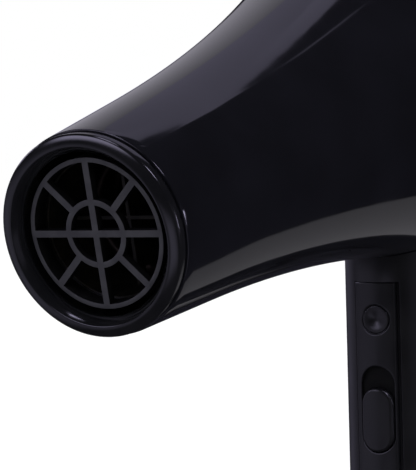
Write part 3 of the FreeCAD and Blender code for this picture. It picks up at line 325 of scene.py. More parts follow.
# nickel plate on the screws: bright and a little warm
finishes["chrome_screw"] = moulded("nickel-plated steel", {
    "dark": "#b9b7b2", "light": "#cfcdc8", "patch": 3, "smooth": 0.12, "rough": 0.24,
    "grain": 0.5, "relief": 0.004, "metal": 1.0})[0]

# pressed mica sheet, browned by heat: dark flakes a few millimetres across, each its own tone
finishes["mica"], tree, shader, spot = moulded("pressed mica", {
    "dark": "#0d0c0a", "light": "#14120f", "patch": 5, "smooth": 0.3, "rough": 0.5,
    "grain": 0.8, "relief": 0.02, "ior": 1.58})
flakes = addNode(tree, "ShaderNodeTexVoronoi", {"Vector": spot, "Scale": 1 / (2.5 * mm)})
flakeEdge = addNode(tree, "ShaderNodeMath", {0: flakes.outputs["Distance"], 1: 0.55},
                    operation="GREATER_THAN")
overlay(tree, shader, flakeEdge.outputs[0], "#1a1713", 0.02)
shader.inputs["Specular IOR Level"].default_value = 0.2

# silicon steel punched half a millimetre thick and stacked along the shaft: fine dark rings
finishes["silicon_steel"], tree, shader, spot = moulded("stacked silicon steel", {
    "dark": "#5d5e61", "light": "#747578", "patch": 3, "smooth": 0.35, "rough": 0.5,
    "grain": 0.4, "relief": 0.01, "metal": 1.0})
along = addNode(tree, "ShaderNodeVectorMath", {0: spot, 1: fanAxis}, operation="DOT_PRODUCT")
sheets = addNode(tree, "ShaderNodeMath", {0: along.outputs["Value"], 1: 0.5 * mm},
                 operation="DIVIDE")
share = addNode(tree, "ShaderNodeMath", {0: sheets.outputs[0]}, operation="FRACT")
seams = addNode(tree, "ShaderNodeMath", {0: share.outputs[0], 1: 0.8}, operation="GREATER_THAN")
overlay(tree, shader, seams.outputs[0], "#2b2b2d", -0.03)

# enamelled copper wire wound side by side, a third of a millimetre thick: close brown grooves
finishes["copper_wire"], tree, shader, spot = moulded("enamelled copper wire", {
    "dark": "#8a4a24", "light": "#b2683a", "patch": 2, "smooth": 0.2, "rough": 0.35,
    "grain": 0.3, "relief": 0.01, "metal": 1.0})
along = addNode(tree, "ShaderNodeVectorMath", {0: spot, 1: fanAxis}, operation="DOT_PRODUCT")
turns = addNode(tree, "ShaderNodeMath", {0: along.outputs["Value"], 1: 2 * pi / (0.33 * mm)},
                operation="MULTIPLY")
wave = addNode(tree, "ShaderNodeMath", {0: turns.outputs[0]}, operation="SINE")
grooves = addNode(tree, "ShaderNodeMapRange", {"Value": wave.outputs[0], "From Min": -0.4,
                                               "From Max": -1.0})
overlay(tree, shader, grooves.outputs[0], "#3a1c0c", -0.05)

# glass-cloth laminate under green lacquer: glossy, with the copper tracks just showing
finishes["circuit_laminate"], tree, shader, spot = moulded("lacquered circuit laminate", {
    "dark": "#1c4f2e", "light": "#24603a", "patch": 4, "smooth": 0.25, "rough": 0.4,
    "grain": 0.5, "relief": 0.01})
tracks = addNode(tree, "ShaderNodeTexBrick", {
    "Vector": spot, "Scale": 1 / (6 * mm), "Color1": (0, 0, 0, 1), "Color2": (0, 0, 0, 1),
    "Mortar": (1, 1, 1, 1), "Mortar Size": 0.06, "Brick Width": 0.9, "Row Height": 0.4})
overlay(tree, shader, tracks.outputs["Fac"], "#3f8a52", 0.03)

# plain-woven steel gauze: wires at 0.9 mm, drawn a little coarse so that the weave shows
gauze = {"pitch": 0.9, "wire": 0.42}
finishes["steel_mesh"], tree, shader, spot = moulded("woven steel gauze", {
    "dark": "#4c4d4f", "light": "#66676a", "patch": 6, "smooth": 0.3, "rough": 0.45,
    "grain": 0.4, "relief": 0.004, "metal": 1.0})
# the weave lies square to the barrel
flat = addNode(tree, "ShaderNodeMapping", {
    "Vector": spot, "Rotation": barrelPlace.to_3x3().inverted().to_euler()})
axes = addNode(tree, "ShaderNodeSeparateXYZ", {0: flat.outputs[0]})
holes = []
for name in ("X", "Y"):
    cell = addNode(tree, "ShaderNodeMath", {0: axes.outputs[name], 1: gauze["pitch"] * mm},
                   operation="DIVIDE")
    fraction = addNode(tree, "ShaderNodeMath", {0: cell.outputs[0]}, operation="FRACT")
    lifted = addNode(tree, "ShaderNodeMath", {0: fraction.outputs[0], 1: 1.0}, operation="ADD")
    wrapped = addNode(tree, "ShaderNodeMath", {0: lifted.outputs[0]}, operation="FRACT")
    holes.append(addNode(tree, "ShaderNodeMath", {0: wrapped.outputs[0], 1: gauze["wire"]},
                         operation="GREATER_THAN").outputs[0])
gap = addNode(tree, "ShaderNodeMath", {0: holes[0], 1: holes[1]}, operation="MULTIPLY")
overlay(tree, shader, gap.outputs[0], "#050506", -0.2)
dull = addNode(tree, "ShaderNodeMath", {0: 1.0, 1: gap.outputs[0]}, operation="SUBTRACT")
tree.links.new(dull.outputs[0], shader.inputs["Metallic"])

print("materials", len(finishes))


barrel = {
    # (along, radius, slope) of the side line from the outlet to the mouth
    "stations": [(2.9, 22.387, 0.0817), (30, 24.6, 0.0817), (125, 40.7, 0.26), (158, 44.8, -0.007),
                 (171.5, 44.3, -0.067)],
    "wall": 2, "step": 2.5, "mouthBore": 43, "ledgeBore": 41, "seat": 165, "ledge": 4,
    "frontEdge": 0.25, "mouthEdge": 0.35, "turns": 192,
    # the neck that goes down into the handle: half its width and depth, its wall, its two ends
    "neckWidth": 12.7, "neckDepth": 14.8, "neckWall": 2, "neckBottom": 105, "neckTop": 122,
    "neckCut": 3, "cutMargin": 2,   # its top is cut this far down, by a rod this much wider
    "gripGap": 0.15,   # between the barrel and the top of the handle
}


def barrelRadius(along):
    # a smooth curve through the stations, each left at its own slope
    stations = barrel["stations"]
    for (z0, r0, s0), (z1, r1, s1) in zip(stations, stations[1:]):
        if along <= z1 or z1 == stations[-1][0]:
            run = z1 - z0
            t = (along - z0) / run
            return (r0 * (1 + 2 * t) * (1 - t) ** 2 + r1 * t * t * (3 - 2 * t)
                    + s0 * run * t * (1 - t) ** 2 + s1 * run * t * t * (t - 1))


def barrelLine(low, high, grow):
    count = round((high - low) / barrel["step"])
    marks = [low + (high - low) * index / count for index in range(count + 1)]
    return [(barrelRadius(mark) + grow, mark) for mark in marks]


front, rear = barrel["stations"][0][0], barrel["stations"][-1][0]
wall = barrel["wall"]
outside = barrelLine(front, rear, 0)
inside = barrelLine(front, barrel["seat"] - barrel["ledge"], -wall)[::-1]
outside[0] += (barrel["frontEdge"],)
outside[-1] += (barrel["mouthEdge"],)
inside[-1] += (barrel["frontEdge"],)
seat = barrel["seat"]
profile = outside + [(barrel["mouthBore"], rear, barrel["mouthEdge"]), (barrel["mouthBore"], seat),
                     (barrel["ledgeBore"], seat),
                     (barrel["ledgeBore"], seat - barrel["ledge"])] + inside
barrelBody = place(turnProfile("barrelBody", soften(profile), barrel["turns"]), barrelPlace)

# the envelope that the handle's top follows, a little outside the barrel
envelope = turnProfile("envelope", barrelLine(front, rear, barrel["gripGap"]), barrel["turns"],
                       closed=False)
place(envelope, barrelPlace)


def addTube(name, halfWidth, halfDepth, bottom, top):
    # an upright oval rod
    bpy.ops.object.select_all(action="DESELECT")
    bpy.ops.mesh.primitive_cylinder_add(vertices=96, radius=mm, depth=(top - bottom) * mm,
                                        location=(0, 0, (top + bottom) / 2 * mm))
    rod = bpy.context.object
    rod.name = name
    rod.scale = (halfWidth, halfDepth, 1)
    return place(rod, Matrix())


halfWidth, halfDepth = barrel["neckWidth"], barrel["neckDepth"]
neckWall, neckTop, margin = barrel["neckWall"], barrel["neckTop"], barrel["cutMargin"]
neck = addTube("neck", halfWidth, halfDepth, barrel["neckBottom"], neckTop)
neckHole = addTube("neckHole", halfWidth - neckWall, halfDepth - neckWall,
                   barrel["neckBottom"] - 1, neckTop)
hollow = addTube("hollow", halfWidth + margin, halfDepth + margin, neckTop - barrel["neckCut"],
                 neckTop + 1)
combine(neck, hollow, "DIFFERENCE")
combine(barrelBody, neck, "UNION")
combine(barrelBody, neckHole, "DIFFERENCE")
settle(barrelBody, "housing", "gloss_black_abs", "barrel_shell", angle=30)


outletRing = {
    "radius": 22, "depth": 2.4, "bore": 17.9, "coneEnd": 1.7, "landEnd": 2.7,
    "lip": 19.4, "lipEdge": 0.25,   # where the cone into the bore meets the face
    "front": -0.5, "fall": 0.9, "curl": 1.6, "edge": 0.45,   # the face falls away to its edge
    "groove": 21.3, "grooveEnd": 2.9, "rearEdge": 0.25,
    "sleeve": 20.29, "sleeveBore": 18.99, "sleeveEnd": 9, "sleeveEdge": 0.3, "landEdge": 0.2,
    "turns": 192,
}
across = outletRing["radius"] - outletRing["lip"]
profile = [(outletRing["bore"], outletRing["coneEnd"]),
           (outletRing["lip"], outletRing["front"], outletRing["lipEdge"])]
profile += [(outletRing["lip"] + across * share,
             outletRing["front"] + outletRing["fall"] * share ** outletRing["curl"])
            for share in (0.2, 0.3, 0.4, 0.5, 0.6, 0.7, 0.8)]
profile += [
    (outletRing["radius"], outletRing["front"] + outletRing["fall"], outletRing["edge"]),
    (outletRing["radius"], outletRing["depth"], outletRing["rearEdge"]),
    (outletRing["groove"], outletRing["depth"]), (outletRing["groove"], outletRing["grooveEnd"]),
    (outletRing["sleeve"], outletRing["grooveEnd"]),
    (outletRing["sleeve"], outletRing["sleeveEnd"], outletRing["sleeveEdge"]),
    (outletRing["sleeveBore"], outletRing["sleeveEnd"], outletRing["sleeveEdge"]),
    (outletRing["sleeveBore"], outletRing["landEnd"]),
    (outletRing["bore"], outletRing["landEnd"], outletRing["landEdge"])]
ringPiece = place(turnProfile("outletRing", soften(profile), outletRing["turns"]), barrelPlace)
settle(ringPiece, "housing", "satin_black_abs", "outlet_ring", angle=40, finish="ring")


grille = {
    "front": 2.8, "rear": 4.8, "outer": 16.4, "inner": 15.4, "skirt": 15.7, "skirtEnd": 7,
    "hubOuter": 7.425, "hubInner": 6.175,
    "bar": 1.5, "barReach": 15.9, "spokeStart": 6.8, "spokes": (45, 135, 225, 315),
    # faces deeper than this behind the front get painted shade
    "edge": 0.16, "paintedShadeDepth": 0.25, "turns": 144, "hubTurns": 96,
}
low, high, half = grille["front"], grille["rear"], grille["bar"] / 2
grillePiece = turnProfile("outletGrille", [
    (grille["inner"], low), (grille["outer"], low), (grille["outer"], high),
    (grille["skirt"], high), (grille["skirt"], grille["skirtEnd"]),
    (grille["inner"], grille["skirtEnd"])], grille["turns"])
hub = turnProfile("hub", [(grille["hubInner"], low), (grille["hubOuter"], low),
                          (grille["hubOuter"], high), (grille["hubInner"], high)],
                  grille["hubTurns"])
barReach = grille["barReach"]
bars = [addBlock("bar", (-barReach, -half, low), (barReach, half, high)),
        addBlock("bar", (-half, -barReach, low), (half, barReach, high))]
for turn in grille["spokes"]:
    spoke = addBlock("spoke", (grille["spokeStart"], -half, low), (barReach, half, high))
    bars.append(place(spoke, Matrix.Rotation(radians(turn), 4, "Z")))
combine(grillePiece, hub, "UNION")
for bar in bars:
    combine(grillePiece, bar, "UNION")
applyModifier(grillePiece, "BEVEL", width=grille["edge"] * mm, segments=2, limit_method="ANGLE",
              angle_limit=radians(50), use_clamp_overlap=True)
place(grillePiece, barrelPlace)
settle(grillePiece, "housing", "matte_black_nylon", "outlet_grille", angle=30)
# its front keeps the grey nylon finish, and the faces behind it are painted near-black as shade, so the bars'
# sides and the skirt look unlit
intoBarrel = barrelPlace.inverted()
paintedShadeStart = (grille["front"] + grille["paintedShadeDepth"]) * mm
refinish(grillePiece, "paintedShade", lambda middle, face: (intoBarrel @ (middle * mm)).z > paintedShadeStart)


cover = {
    "skirt": 42.9, "skirtFront": 169.1, "seam": 171.8, "radius": 44.2, "rim": 3, "wall": 1.2,
    # the dome: an arc from the rim to the shoulder, a flatter one to the crown, then a flat disc
    "shoulder": 27.7, "shoulderRise": 186.8, "shoulderBend": 18.92,
    "crown": 13.26, "top": 188.8, "crownBend": 132.6,
    "marks": [44.15, 44.0, 43.7, 43.2, 42.5, 41.6, 40.5, 39.0, 37.2, 35.2, 33.0, 30.6, 28.2, 25.6,
              23.9, 22.1, 19.5, 16.8, 14.1, 11.5, 8.0, 5.0, 2.0, 0.0],
    "rows": ((25.6, 39.0, 5, 2), (11.5, 22.1, 10, 4)),   # near, far, steps per slot, steps cut
    "turns": 200, "slotEdge": 0.22,
}


def coverHeight(radius):
    if radius >= cover["shoulder"]:
        return arcHeight(radius, (cover["radius"], cover["seam"] + cover["rim"]),
                         (cover["shoulder"], cover["shoulderRise"]), cover["shoulderBend"])
    if radius >= cover["crown"]:
        return arcHeight(radius, (cover["shoulder"], cover["shoulderRise"]),
                         (cover["crown"], cover["top"]), cover["crownBend"])
    return cover["top"]


def arcHeight(radius, start, end, bend):
    # height of the arc through start and end, bulging up and out
    a, b = Vector(start), Vector(end)
    halfChord = (b - a).length / 2
    square = Vector((-(b - a).y, (b - a).x)).normalized() * sqrt(bend ** 2 - halfChord ** 2)
    centre = (a + b) / 2 + square
    if centre.y > (a.y + b.y) / 2:
        centre = (a + b) / 2 - square
    return centre.y + sqrt(max(bend ** 2 - (radius - centre.x) ** 2, 0))


rimTop = cover["seam"] + cover["rim"]
profile = [(cover["skirt"], cover["skirtFront"]), (cover["skirt"], cover["seam"]),
           (cover["radius"], cover["seam"]), (cover["radius"], rimTop)]
profile += [(mark, coverHeight(mark)) for mark in cover["marks"]]
coverPiece = turnProfile("rearCover", profile, cover["turns"], closed=False)
editPiece(coverPiece)
bpy.ops.mesh.select_all(action="SELECT")
bpy.ops.mesh.normals_make_consistent(inside=False)
stepTurn = 2 * pi / cover["turns"]


def inSlot(middle, face):
    for near, far, pitch, cut in cover["rows"]:
        if near < hypot(middle.x, middle.y) < far and middle.z > rimTop:
            step = int((atan2(middle.y, middle.x) % (2 * pi)) / stepTurn)
            return step % pitch < cut
    return False


choose(coverPiece, "FACE", inSlot)
bpy.ops.mesh.delete(type="FACE")
leaveEdit()
applyModifier(coverPiece, "SOLIDIFY", thickness=cover["wall"] * mm, offset=-1, use_even_offset=True)
applyModifier(coverPiece, "BEVEL", width=cover["slotEdge"] * mm, segments=2, limit_method="ANGLE",
              angle_limit=radians(40), use_clamp_overlap=True)
place(coverPiece, barrelPlace)
settle(coverPiece, "filter_cover", "gloss_black_abs", "rear_cover", angle=40)


grip = {
    "halfWidth": 14.8, "halfDepth": 16.9, "wall": 2, "bottom": 3, "turns": 180,
    "levels": [11.9, 30, 55, 80, 100.9, 106],   # the last is carried up to the barrel
    "openHalf": 6.7, "openBottom": 11.9, "openTop": 100.9, "edge": 0.16,
    # screw holes in the back: their heights, how far from the middle each ends, and their rim
    "screws": (46, 108.3), "screwFloor": (15, 16), "screwRadius": 2.1, "rimStart": 16.55,
    "rimEnd": 17.1, "rimFlare": 0.45,
}

bpy.ops.object.select_all(action="DESELECT")
bpy.ops.mesh.primitive_circle_add(vertices=grip["turns"], radius=mm,
                                  location=(0, 0, grip["bottom"] * mm))
gripPiece = bpy.context.object
gripPiece.name = "handleShell"
gripPiece.scale = (grip["halfWidth"], grip["halfDepth"], 1)
place(gripPiece, Matrix())
editPiece(gripPiece)
bpy.ops.mesh.select_all(action="SELECT")
height = grip["bottom"]
for level in grip["levels"]:
    rise = (0, 0, (level - height) * mm)
    bpy.ops.mesh.extrude_region_move(TRANSFORM_OT_translate={"value": rise})
    height = level
for side in (-1, 1):
    choose(gripPiece, "FACE", lambda middle, face: middle.y < 0)
    bpy.ops.mesh.bisect(plane_co=(side * grip["openHalf"] * mm, 0, 0), plane_no=(1, 0, 0))
choose(gripPiece, "FACE", lambda middle, face: middle.y < 0 and abs(middle.x) < grip["openHalf"]
       and grip["openBottom"] < middle.z < grip["openTop"])
bpy.ops.mesh.delete(type="FACE")
bpy.ops.mesh.select_all(action="SELECT")
bpy.ops.mesh.normals_make_consistent(inside=False)
leaveEdit()
topGroup = gripPiece.vertex_groups.new(name="top")
topLevel = grip["levels"][-1] * mm
topPoints = [v.index for v in gripPiece.data.vertices if v.co.z > topLevel - 0.1 * mm]
topGroup.add(topPoints, 1.0, "REPLACE")
applyModifier(gripPiece, "SOLIDIFY", thickness=grip["wall"] * mm, offset=-1, use_even_offset=True)
applyModifier(gripPiece, "SHRINKWRAP", wrap_method="PROJECT", target=envelope, vertex_group="top",
              use_project_z=True, use_positive_direction=True, use_negative_direction=False)
gripPiece.vertex_groups.clear()
bpy.data.objects.remove(envelope)


def onGripOutside(point):
    # 1 is the outside of the grip, and the inner wall lies well below 0.992
    return hypot(point.x / grip["halfWidth"], point.y / grip["halfDepth"]) > 0.992


def gripEdge(middle, edge):
    # the sharp edges of the outside: the opening's and the two ends'
    if len(edge.link_faces) != 2 or edge.calc_face_angle(0) < radians(45):
        return False
    return all(onGripOutside(v.co / mm) for v in edge.verts)


editPiece(gripPiece)
choose(gripPiece, "EDGE", gripEdge)
bpy.ops.mesh.bevel(offset=grip["edge"] * mm, segments=3, affect="EDGES", clamp_overlap=True)
leaveEdit()
for high, floor in zip(grip["screws"], grip["screwFloor"]):
    radius = grip["screwRadius"]
    cutter = turnProfile("cutter", [
        (0, floor), (radius, floor), (radius, grip["rimStart"]),
        (radius + grip["rimFlare"], grip["rimEnd"]), (0, grip["rimEnd"])], 48)
    place(cutter, Matrix.Translation((0, 0, high * mm)) @ Matrix.Rotation(radians(-90), 4, "X"))
    combine(gripPiece, cutter, "DIFFERENCE")
settle(gripPiece, "housing", "satin_black_abs", "handle_shell", angle=35)


panel = {
    "half": 6.6, "bottom": 12, "top": 100.8, "back": -13.4, "edge": 0.15, "grid": 0.2,
    "rebate": 1.0, "rebateDepth": 1.5, "shoulder": 0.6,   # the deep groove along its right side
    "cutFront": -18, "cutBack": -12,                      # how far the cutters reach
    "lever": 1.5, "leverBottom": 60.8, "leverTop": 71.2,  # the slit for the switch's lever
}
slotPill = {"half": 4.9, "bottom": 54.1, "top": 77.9, "floor": -15, "rim": 0.4}
button = {
    "radius": 3.8, "high": 90.7, "face": -16.5, "rear": -12.9, "hole": 3.92, "edge": 0.35,
    "flange": 0.8, "flangeDepth": 0.5, "flangeEdge": 0.15,
    "dish": 0.45, "dishDepth": 0.35,                      # the panel dips around it
    "dimple": 0.75, "dimpleRadius": 3.3, "dimpleSpread": 3.4,
}
knob = {"half": 4.6, "bottom": 54.4, "top": 72, "proud": 0.8, "back": -15.1, "edge": 0.9,
        "thinnest": 0.5, "margin": 0.4, "grid": 0.2}


def quarterDrop(inward, reach):
    # how far a rounded edge lies below its face, at a distance in from the edge
    left = max(reach - inward, 0)
    return reach - sqrt(max(reach ** 2 - left ** 2, 0))


def pillDistance(x, z, pill):
    # below 0 inside the pill
    middle = min(max(z, pill["bottom"] + pill["half"]), pill["top"] - pill["half"])
    return hypot(x, z - middle) - pill["half"]


def gripFace(x, grow=0):
    return -(grip["halfDepth"] + grow) * sqrt(1 - (x / (grip["halfWidth"] + grow)) ** 2)


def panelFace(x, z):
    y = gripFace(x)
    side = panel["half"] - x
    if side < panel["rebate"]:
        y += panel["rebateDepth"]
    else:
        y += quarterDrop(side - panel["rebate"], panel["shoulder"])
    y += quarterDrop(min(panel["half"] + x, z - panel["bottom"], panel["top"] - z), panel["edge"])
    y += quarterDrop(pillDistance(x, z, slotPill), slotPill["rim"])
    rim = hypot(x, z - button["high"]) - button["hole"]
    if rim < button["dish"]:
        share = min(max(rim / button["dish"], 0), 1)
        y += button["dishDepth"] * (1 - share * share * (3 - 2 * share))
    return y


def formedSlab(name, half, bottom, top, spacing, faceOf, back):
    # a fine grid shaped by a height rule in front and flat behind
    columns, rows = round(2 * half / spacing), round((top - bottom) / spacing)
    bpy.ops.object.select_all(action="DESELECT")
    bpy.ops.mesh.primitive_grid_add(x_subdivisions=columns, y_subdivisions=rows, size=mm,
                                    location=(0, back * mm, (bottom + top) / 2 * mm),
                                    rotation=(pi / 2, 0, 0))
    slab = bpy.context.object
    slab.name = name
    slab.scale = (2 * half, top - bottom, 1)
    place(slab, Matrix())
    editPiece(slab)
    bpy.ops.mesh.select_all(action="SELECT")
    bpy.ops.mesh.extrude_region_move(TRANSFORM_OT_translate={"value": (0, -mm, 0)})
    mesh = bmesh.from_edit_mesh(slab.data)
    for v in mesh.verts:
        if v.select:
            v.co.y = faceOf(v.co.x / mm, v.co.z / mm) * mm
    bmesh.update_edit_mesh(slab.data)
    bpy.ops.mesh.select_all(action="SELECT")
    bpy.ops.mesh.normals_make_consistent(inside=False)
    leaveEdit()
    return slab


def addPill(name, pill, frontSide, backSide):
    # an upright pill along Y: a round bar whose upper half is moved up
    bpy.ops.object.select_all(action="DESELECT")
    bpy.ops.mesh.primitive_cylinder_add(
        vertices=64, radius=pill["half"] * mm, depth=(backSide - frontSide) * mm,
        location=(0, (frontSide + backSide) / 2 * mm, (pill["bottom"] + pill["half"]) * mm),
        rotation=(pi / 2, 0, 0))
    bar = bpy.context.object
    bar.name = name
    place(bar, Matrix())
    editPiece(bar)
    choose(bar, "EDGE", lambda middle, edge: middle.z > pill["bottom"] + pill["half"] + 0.01)
    rise = (pill["top"] - pill["bottom"] - 2 * pill["half"]) * mm
    bpy.ops.transform.translate(value=(0, 0, rise))
    leaveEdit()
    return bar


panelPiece = formedSlab("frontPanel", panel["half"], panel["bottom"], panel["top"], panel["grid"],
                        panelFace, panel["back"])
cutFront, cutBack = panel["cutFront"], panel["cutBack"]
combine(panelPiece, addPill("recess", slotPill, cutFront, slotPill["floor"]), "DIFFERENCE")
hole = turnProfile("hole", [(0, cutBack), (button["hole"], cutBack), (button["hole"], cutFront),
                            (0, cutFront)], 96)
place(hole, Matrix.Translation((0, 0, button["high"] * mm))
      @ Matrix.Rotation(radians(-90), 4, "X"))
combine(panelPiece, hole, "DIFFERENCE")
leverSlot = addBlock("leverSlot", (-panel["lever"], cutFront, panel["leverBottom"]),
                     (panel["lever"], cutBack, panel["leverTop"]))
combine(panelPiece, leverSlot, "DIFFERENCE")
settle(panelPiece, "housing", "satin_black_abs", "handle_front_panel", angle=40)
# the floor of the switch's recess is painted near-black as shade, as though it lay deep
refinish(panelPiece, "paintedShade", lambda middle, face: abs(middle.y - slotPill["floor"]) < 0.05
         and slotPill["bottom"] < middle.z < slotPill["top"] and abs(middle.x) < slotPill["half"])


def knobFace(x, z):
    inward = max(-pillDistance(x, z, knob), 0)
    face = gripFace(min(abs(x), knob["half"]), knob["proud"])
    return min(face + quarterDrop(inward, knob["edge"]), knob["back"] - knob["thinnest"])


margin = knob["margin"]
knobPiece = formedSlab("speedKnob", knob["half"] + margin, knob["bottom"] - margin,
                       knob["top"] + margin, knob["grid"], knobFace, knob["back"])
combine(knobPiece, addPill("outline", knob, -20, -10), "INTERSECT")  # well past its front and back
settle(knobPiece, "speed_slider", "satin_black_abs", "slider_knob", angle=40)

face, rear = -button["face"], -button["rear"]
flange, flangeTop = button["radius"] + button["flange"], rear + button["flangeDepth"]
profile = [(0, rear), (flange, rear), (flange, flangeTop, button["flangeEdge"]),
           (button["radius"], flangeTop), (button["radius"], face, button["edge"])]
for step in range(10):
    mark = button["dimpleRadius"] * (1 - step / 9)
    share = (1 + cos(pi * mark / button["dimpleSpread"])) / 2
    profile.append((mark, face - button["dimple"] * share))
buttonPiece = turnProfile("coolButton", soften(profile, 6), 96, closed=False)
place(buttonPiece, Matrix.Translation((0, 0, button["high"] * mm))
      @ Matrix.Rotation(radians(90), 4, "X"))
settle(buttonPiece, "cool_button", "satin_black_abs", "cool_shot_button", angle=40)


cap = {"hole": 5.1, "holeEdge": 0.3, "width": 14.8, "round": 1.2, "plate": 3, "plateEdge": 0.2,
       "spigot": 12.7, "spigotWall": 1.5, "spigotTop": 8.5, "spigotEdge": 0.3,
       "ovalFrom": 8}   # the round hole ends and the oval outline starts inside this radius
spigotBore = cap["spigot"] - cap["spigotWall"]
profile = [(cap["hole"], 0, cap["holeEdge"]), (cap["width"], 0, cap["round"]),
           (cap["width"], cap["plate"], cap["plateEdge"]), (cap["spigot"], cap["plate"]),
           (cap["spigot"], cap["spigotTop"], cap["spigotEdge"]),
           (spigotBore, cap["spigotTop"], cap["spigotEdge"]), (spigotBore, cap["plate"]),
           (cap["hole"], cap["plate"])]
capPiece = turnProfile("endCap", soften(profile), 180)
editPiece(capPiece)
choose(capPiece, "VERT", lambda middle, vert: hypot(middle.x, middle.y) > cap["ovalFrom"])
bpy.ops.transform.resize(value=(1, grip["halfDepth"] / grip["halfWidth"], 1),
                         center_override=(0, 0, 0))
leaveEdit()
settle(capPiece, "housing", "satin_black_abs", "handle_end_cap", angle=40)

gland = {"bore": 3.5, "radius": 5, "length": 13, "mouth": 0.5, "edge": 0.35, "endEdge": 0.3,
         "flange": 6, "flangeFoot": 3.1, "flangeTop": 5}
profile = [(gland["bore"], 0, gland["mouth"]), (gland["radius"], 0, gland["edge"]),
           (gland["radius"], gland["flangeFoot"]), (gland["flange"], gland["flangeFoot"]),
           (gland["flange"], gland["flangeTop"]), (gland["radius"], gland["flangeTop"]),
           (gland["radius"], gland["length"], gland["endEdge"]),
           (gland["bore"], gland["length"], gland["endEdge"])]
glandPiece = turnProfile("cordGland", soften(profile), 72)
settle(glandPiece, "housing", "black_rubber", "cord_gland", angle=40)


# the rest of the CAD nodes keep their shape and get their finish
for entry in frame["record"]["subparts"]:
    node = frame["nodes"][entry["node"]]
    if not node.hide_render:
        node.data.materials.clear()
        node.data.materials.append(finishes[entry["material_slot"]])
print("finished the CAD nodes")


studio = {
    "floor": 8.0, "world": 1.0, "sun": 0.9, "sunSpread": 70, "sunTilt": (12, 8),
    "centre": (0, -0.07, 0.14), "reach": 1.2,   # the panels stand this far from the centre
    "wallRadius": 3.9, "wallGlow": 0.02, "wallColour": "#ddd6ff",
}

studioCentre = Vector(studio["centre"])
scene = bpy.context.scene
scene.view_settings.view_transform = "Standard"  # keeps the paper white
world = bpy.data.worlds.new("white studio")
scene.world = world
world.use_nodes = True
world.node_tree.nodes["Background"].inputs["Color"].default_value = (1, 1, 1, 1)
world.node_tree.nodes["Background"].inputs["Strength"].default_value = studio["world"]
world.cycles_visibility.glossy = False  # black plastic mirrors only the soft panels

bpy.ops.object.select_all(action="DESELECT")
bpy.ops.mesh.primitive_plane_add(size=studio["floor"], location=(0, 0, 0))
floor = bpy.context.object
floor.name = "paperFloor"
paper = moulded("pale studio paper", {
    "dark": "#f2f2f2", "light": "#f6f6f6", "patch": 400, "smooth": 0.8, "rough": 0.9,
    "grain": 2, "relief": 0.02})[0]
floor.data.materials.append(paper)
for kind in ("glossy", "diffuse", "shadow"):
    setattr(floor, "visible_" + kind, False)

sun = bpy.data.lights.new("overhead", "SUN")
sun.energy = studio["sun"]
sun.angle = radians(studio["sunSpread"])
sunObject = bpy.data.objects.new("overhead", sun)
scene.collection.objects.link(sunObject)
sunObject.rotation_euler = (radians(studio["sunTilt"][0]), radians(studio["sunTilt"][1]), 0)
sunObject.visible_glossy = False


def towards(azimuth, elevation):
    # azimuth 0 is the outlet's side, 90 is the dryer's left
    a, e = radians(azimuth), radians(elevation)
    return Vector((sin(a) * cos(e), -cos(a) * cos(e), sin(e)))


def softPanel(name, size, strength, fades, at=None, angle=None, leftLevel=1.0, colour="#e2dcff",
              turn=0):
    # a glowing sheet that stands at a point and faces straight to the front, or stands at an
    # angle and faces the studio's centre; fades are the shares of its size over which it dims at
    # the left, right, foot and head, and leftLevel is its strength at the left against the right
    stand = Vector(at) if at else studioCentre + towards(*angle) * studio["reach"]
    facing = Vector((0, -1, 0)) if at else (stand - studioCentre).normalized() * -1
    bpy.ops.object.select_all(action="DESELECT")
    bpy.ops.mesh.primitive_plane_add(size=1, location=stand)
    sheet = bpy.context.object
    sheet.name = name
    sheet.scale = (size[0], size[1], 1)
    spin = Matrix.Rotation(radians(turn), 3, "Z")
    sheet.rotation_euler = (facing.to_track_quat("Z", "Y").to_matrix() @ spin).to_euler()
    glow = bpy.data.materials.new(name + " cloth")
    glow.use_nodes = True
    tree = glow.node_tree
    tree.nodes.clear()
    spot = addNode(tree, "ShaderNodeTexCoord").outputs["Object"]
    axes = addNode(tree, "ShaderNodeSeparateXYZ", {0: spot})
    power = strength
    for index, (key, edge) in enumerate((("X", -0.5), ("X", 0.5), ("Y", -0.5), ("Y", 0.5))):
        soft = fades[index] if edge < 0 else -fades[index]
        fade = addNode(tree, "ShaderNodeMapRange", {
            "Value": axes.outputs[key], "From Min": edge, "From Max": edge + soft},
            interpolation_type="SMOOTHSTEP")
        power = addNode(tree, "ShaderNodeMath", {0: power, 1: fade.outputs[0]},
                        operation="MULTIPLY").outputs[0]
    slope = addNode(tree, "ShaderNodeMapRange", {
        "Value": axes.outputs["X"], "From Min": -0.5, "From Max": 0.5, "To Min": leftLevel,
        "To Max": 1.0})
    power = addNode(tree, "ShaderNodeMath", {0: power, 1: slope.outputs[0]}, operation="MULTIPLY")
    light = addNode(tree, "ShaderNodeEmission", {"Color": linearColour(colour),
                                                 "Strength": power.outputs[0]})
    addNode(tree, "ShaderNodeOutputMaterial", {"Surface": light.outputs[0]})
    sheet.data.materials.append(glow)
    sheet.visible_camera = False
    sheet.visible_shadow = False
    sheet.visible_diffuse = False


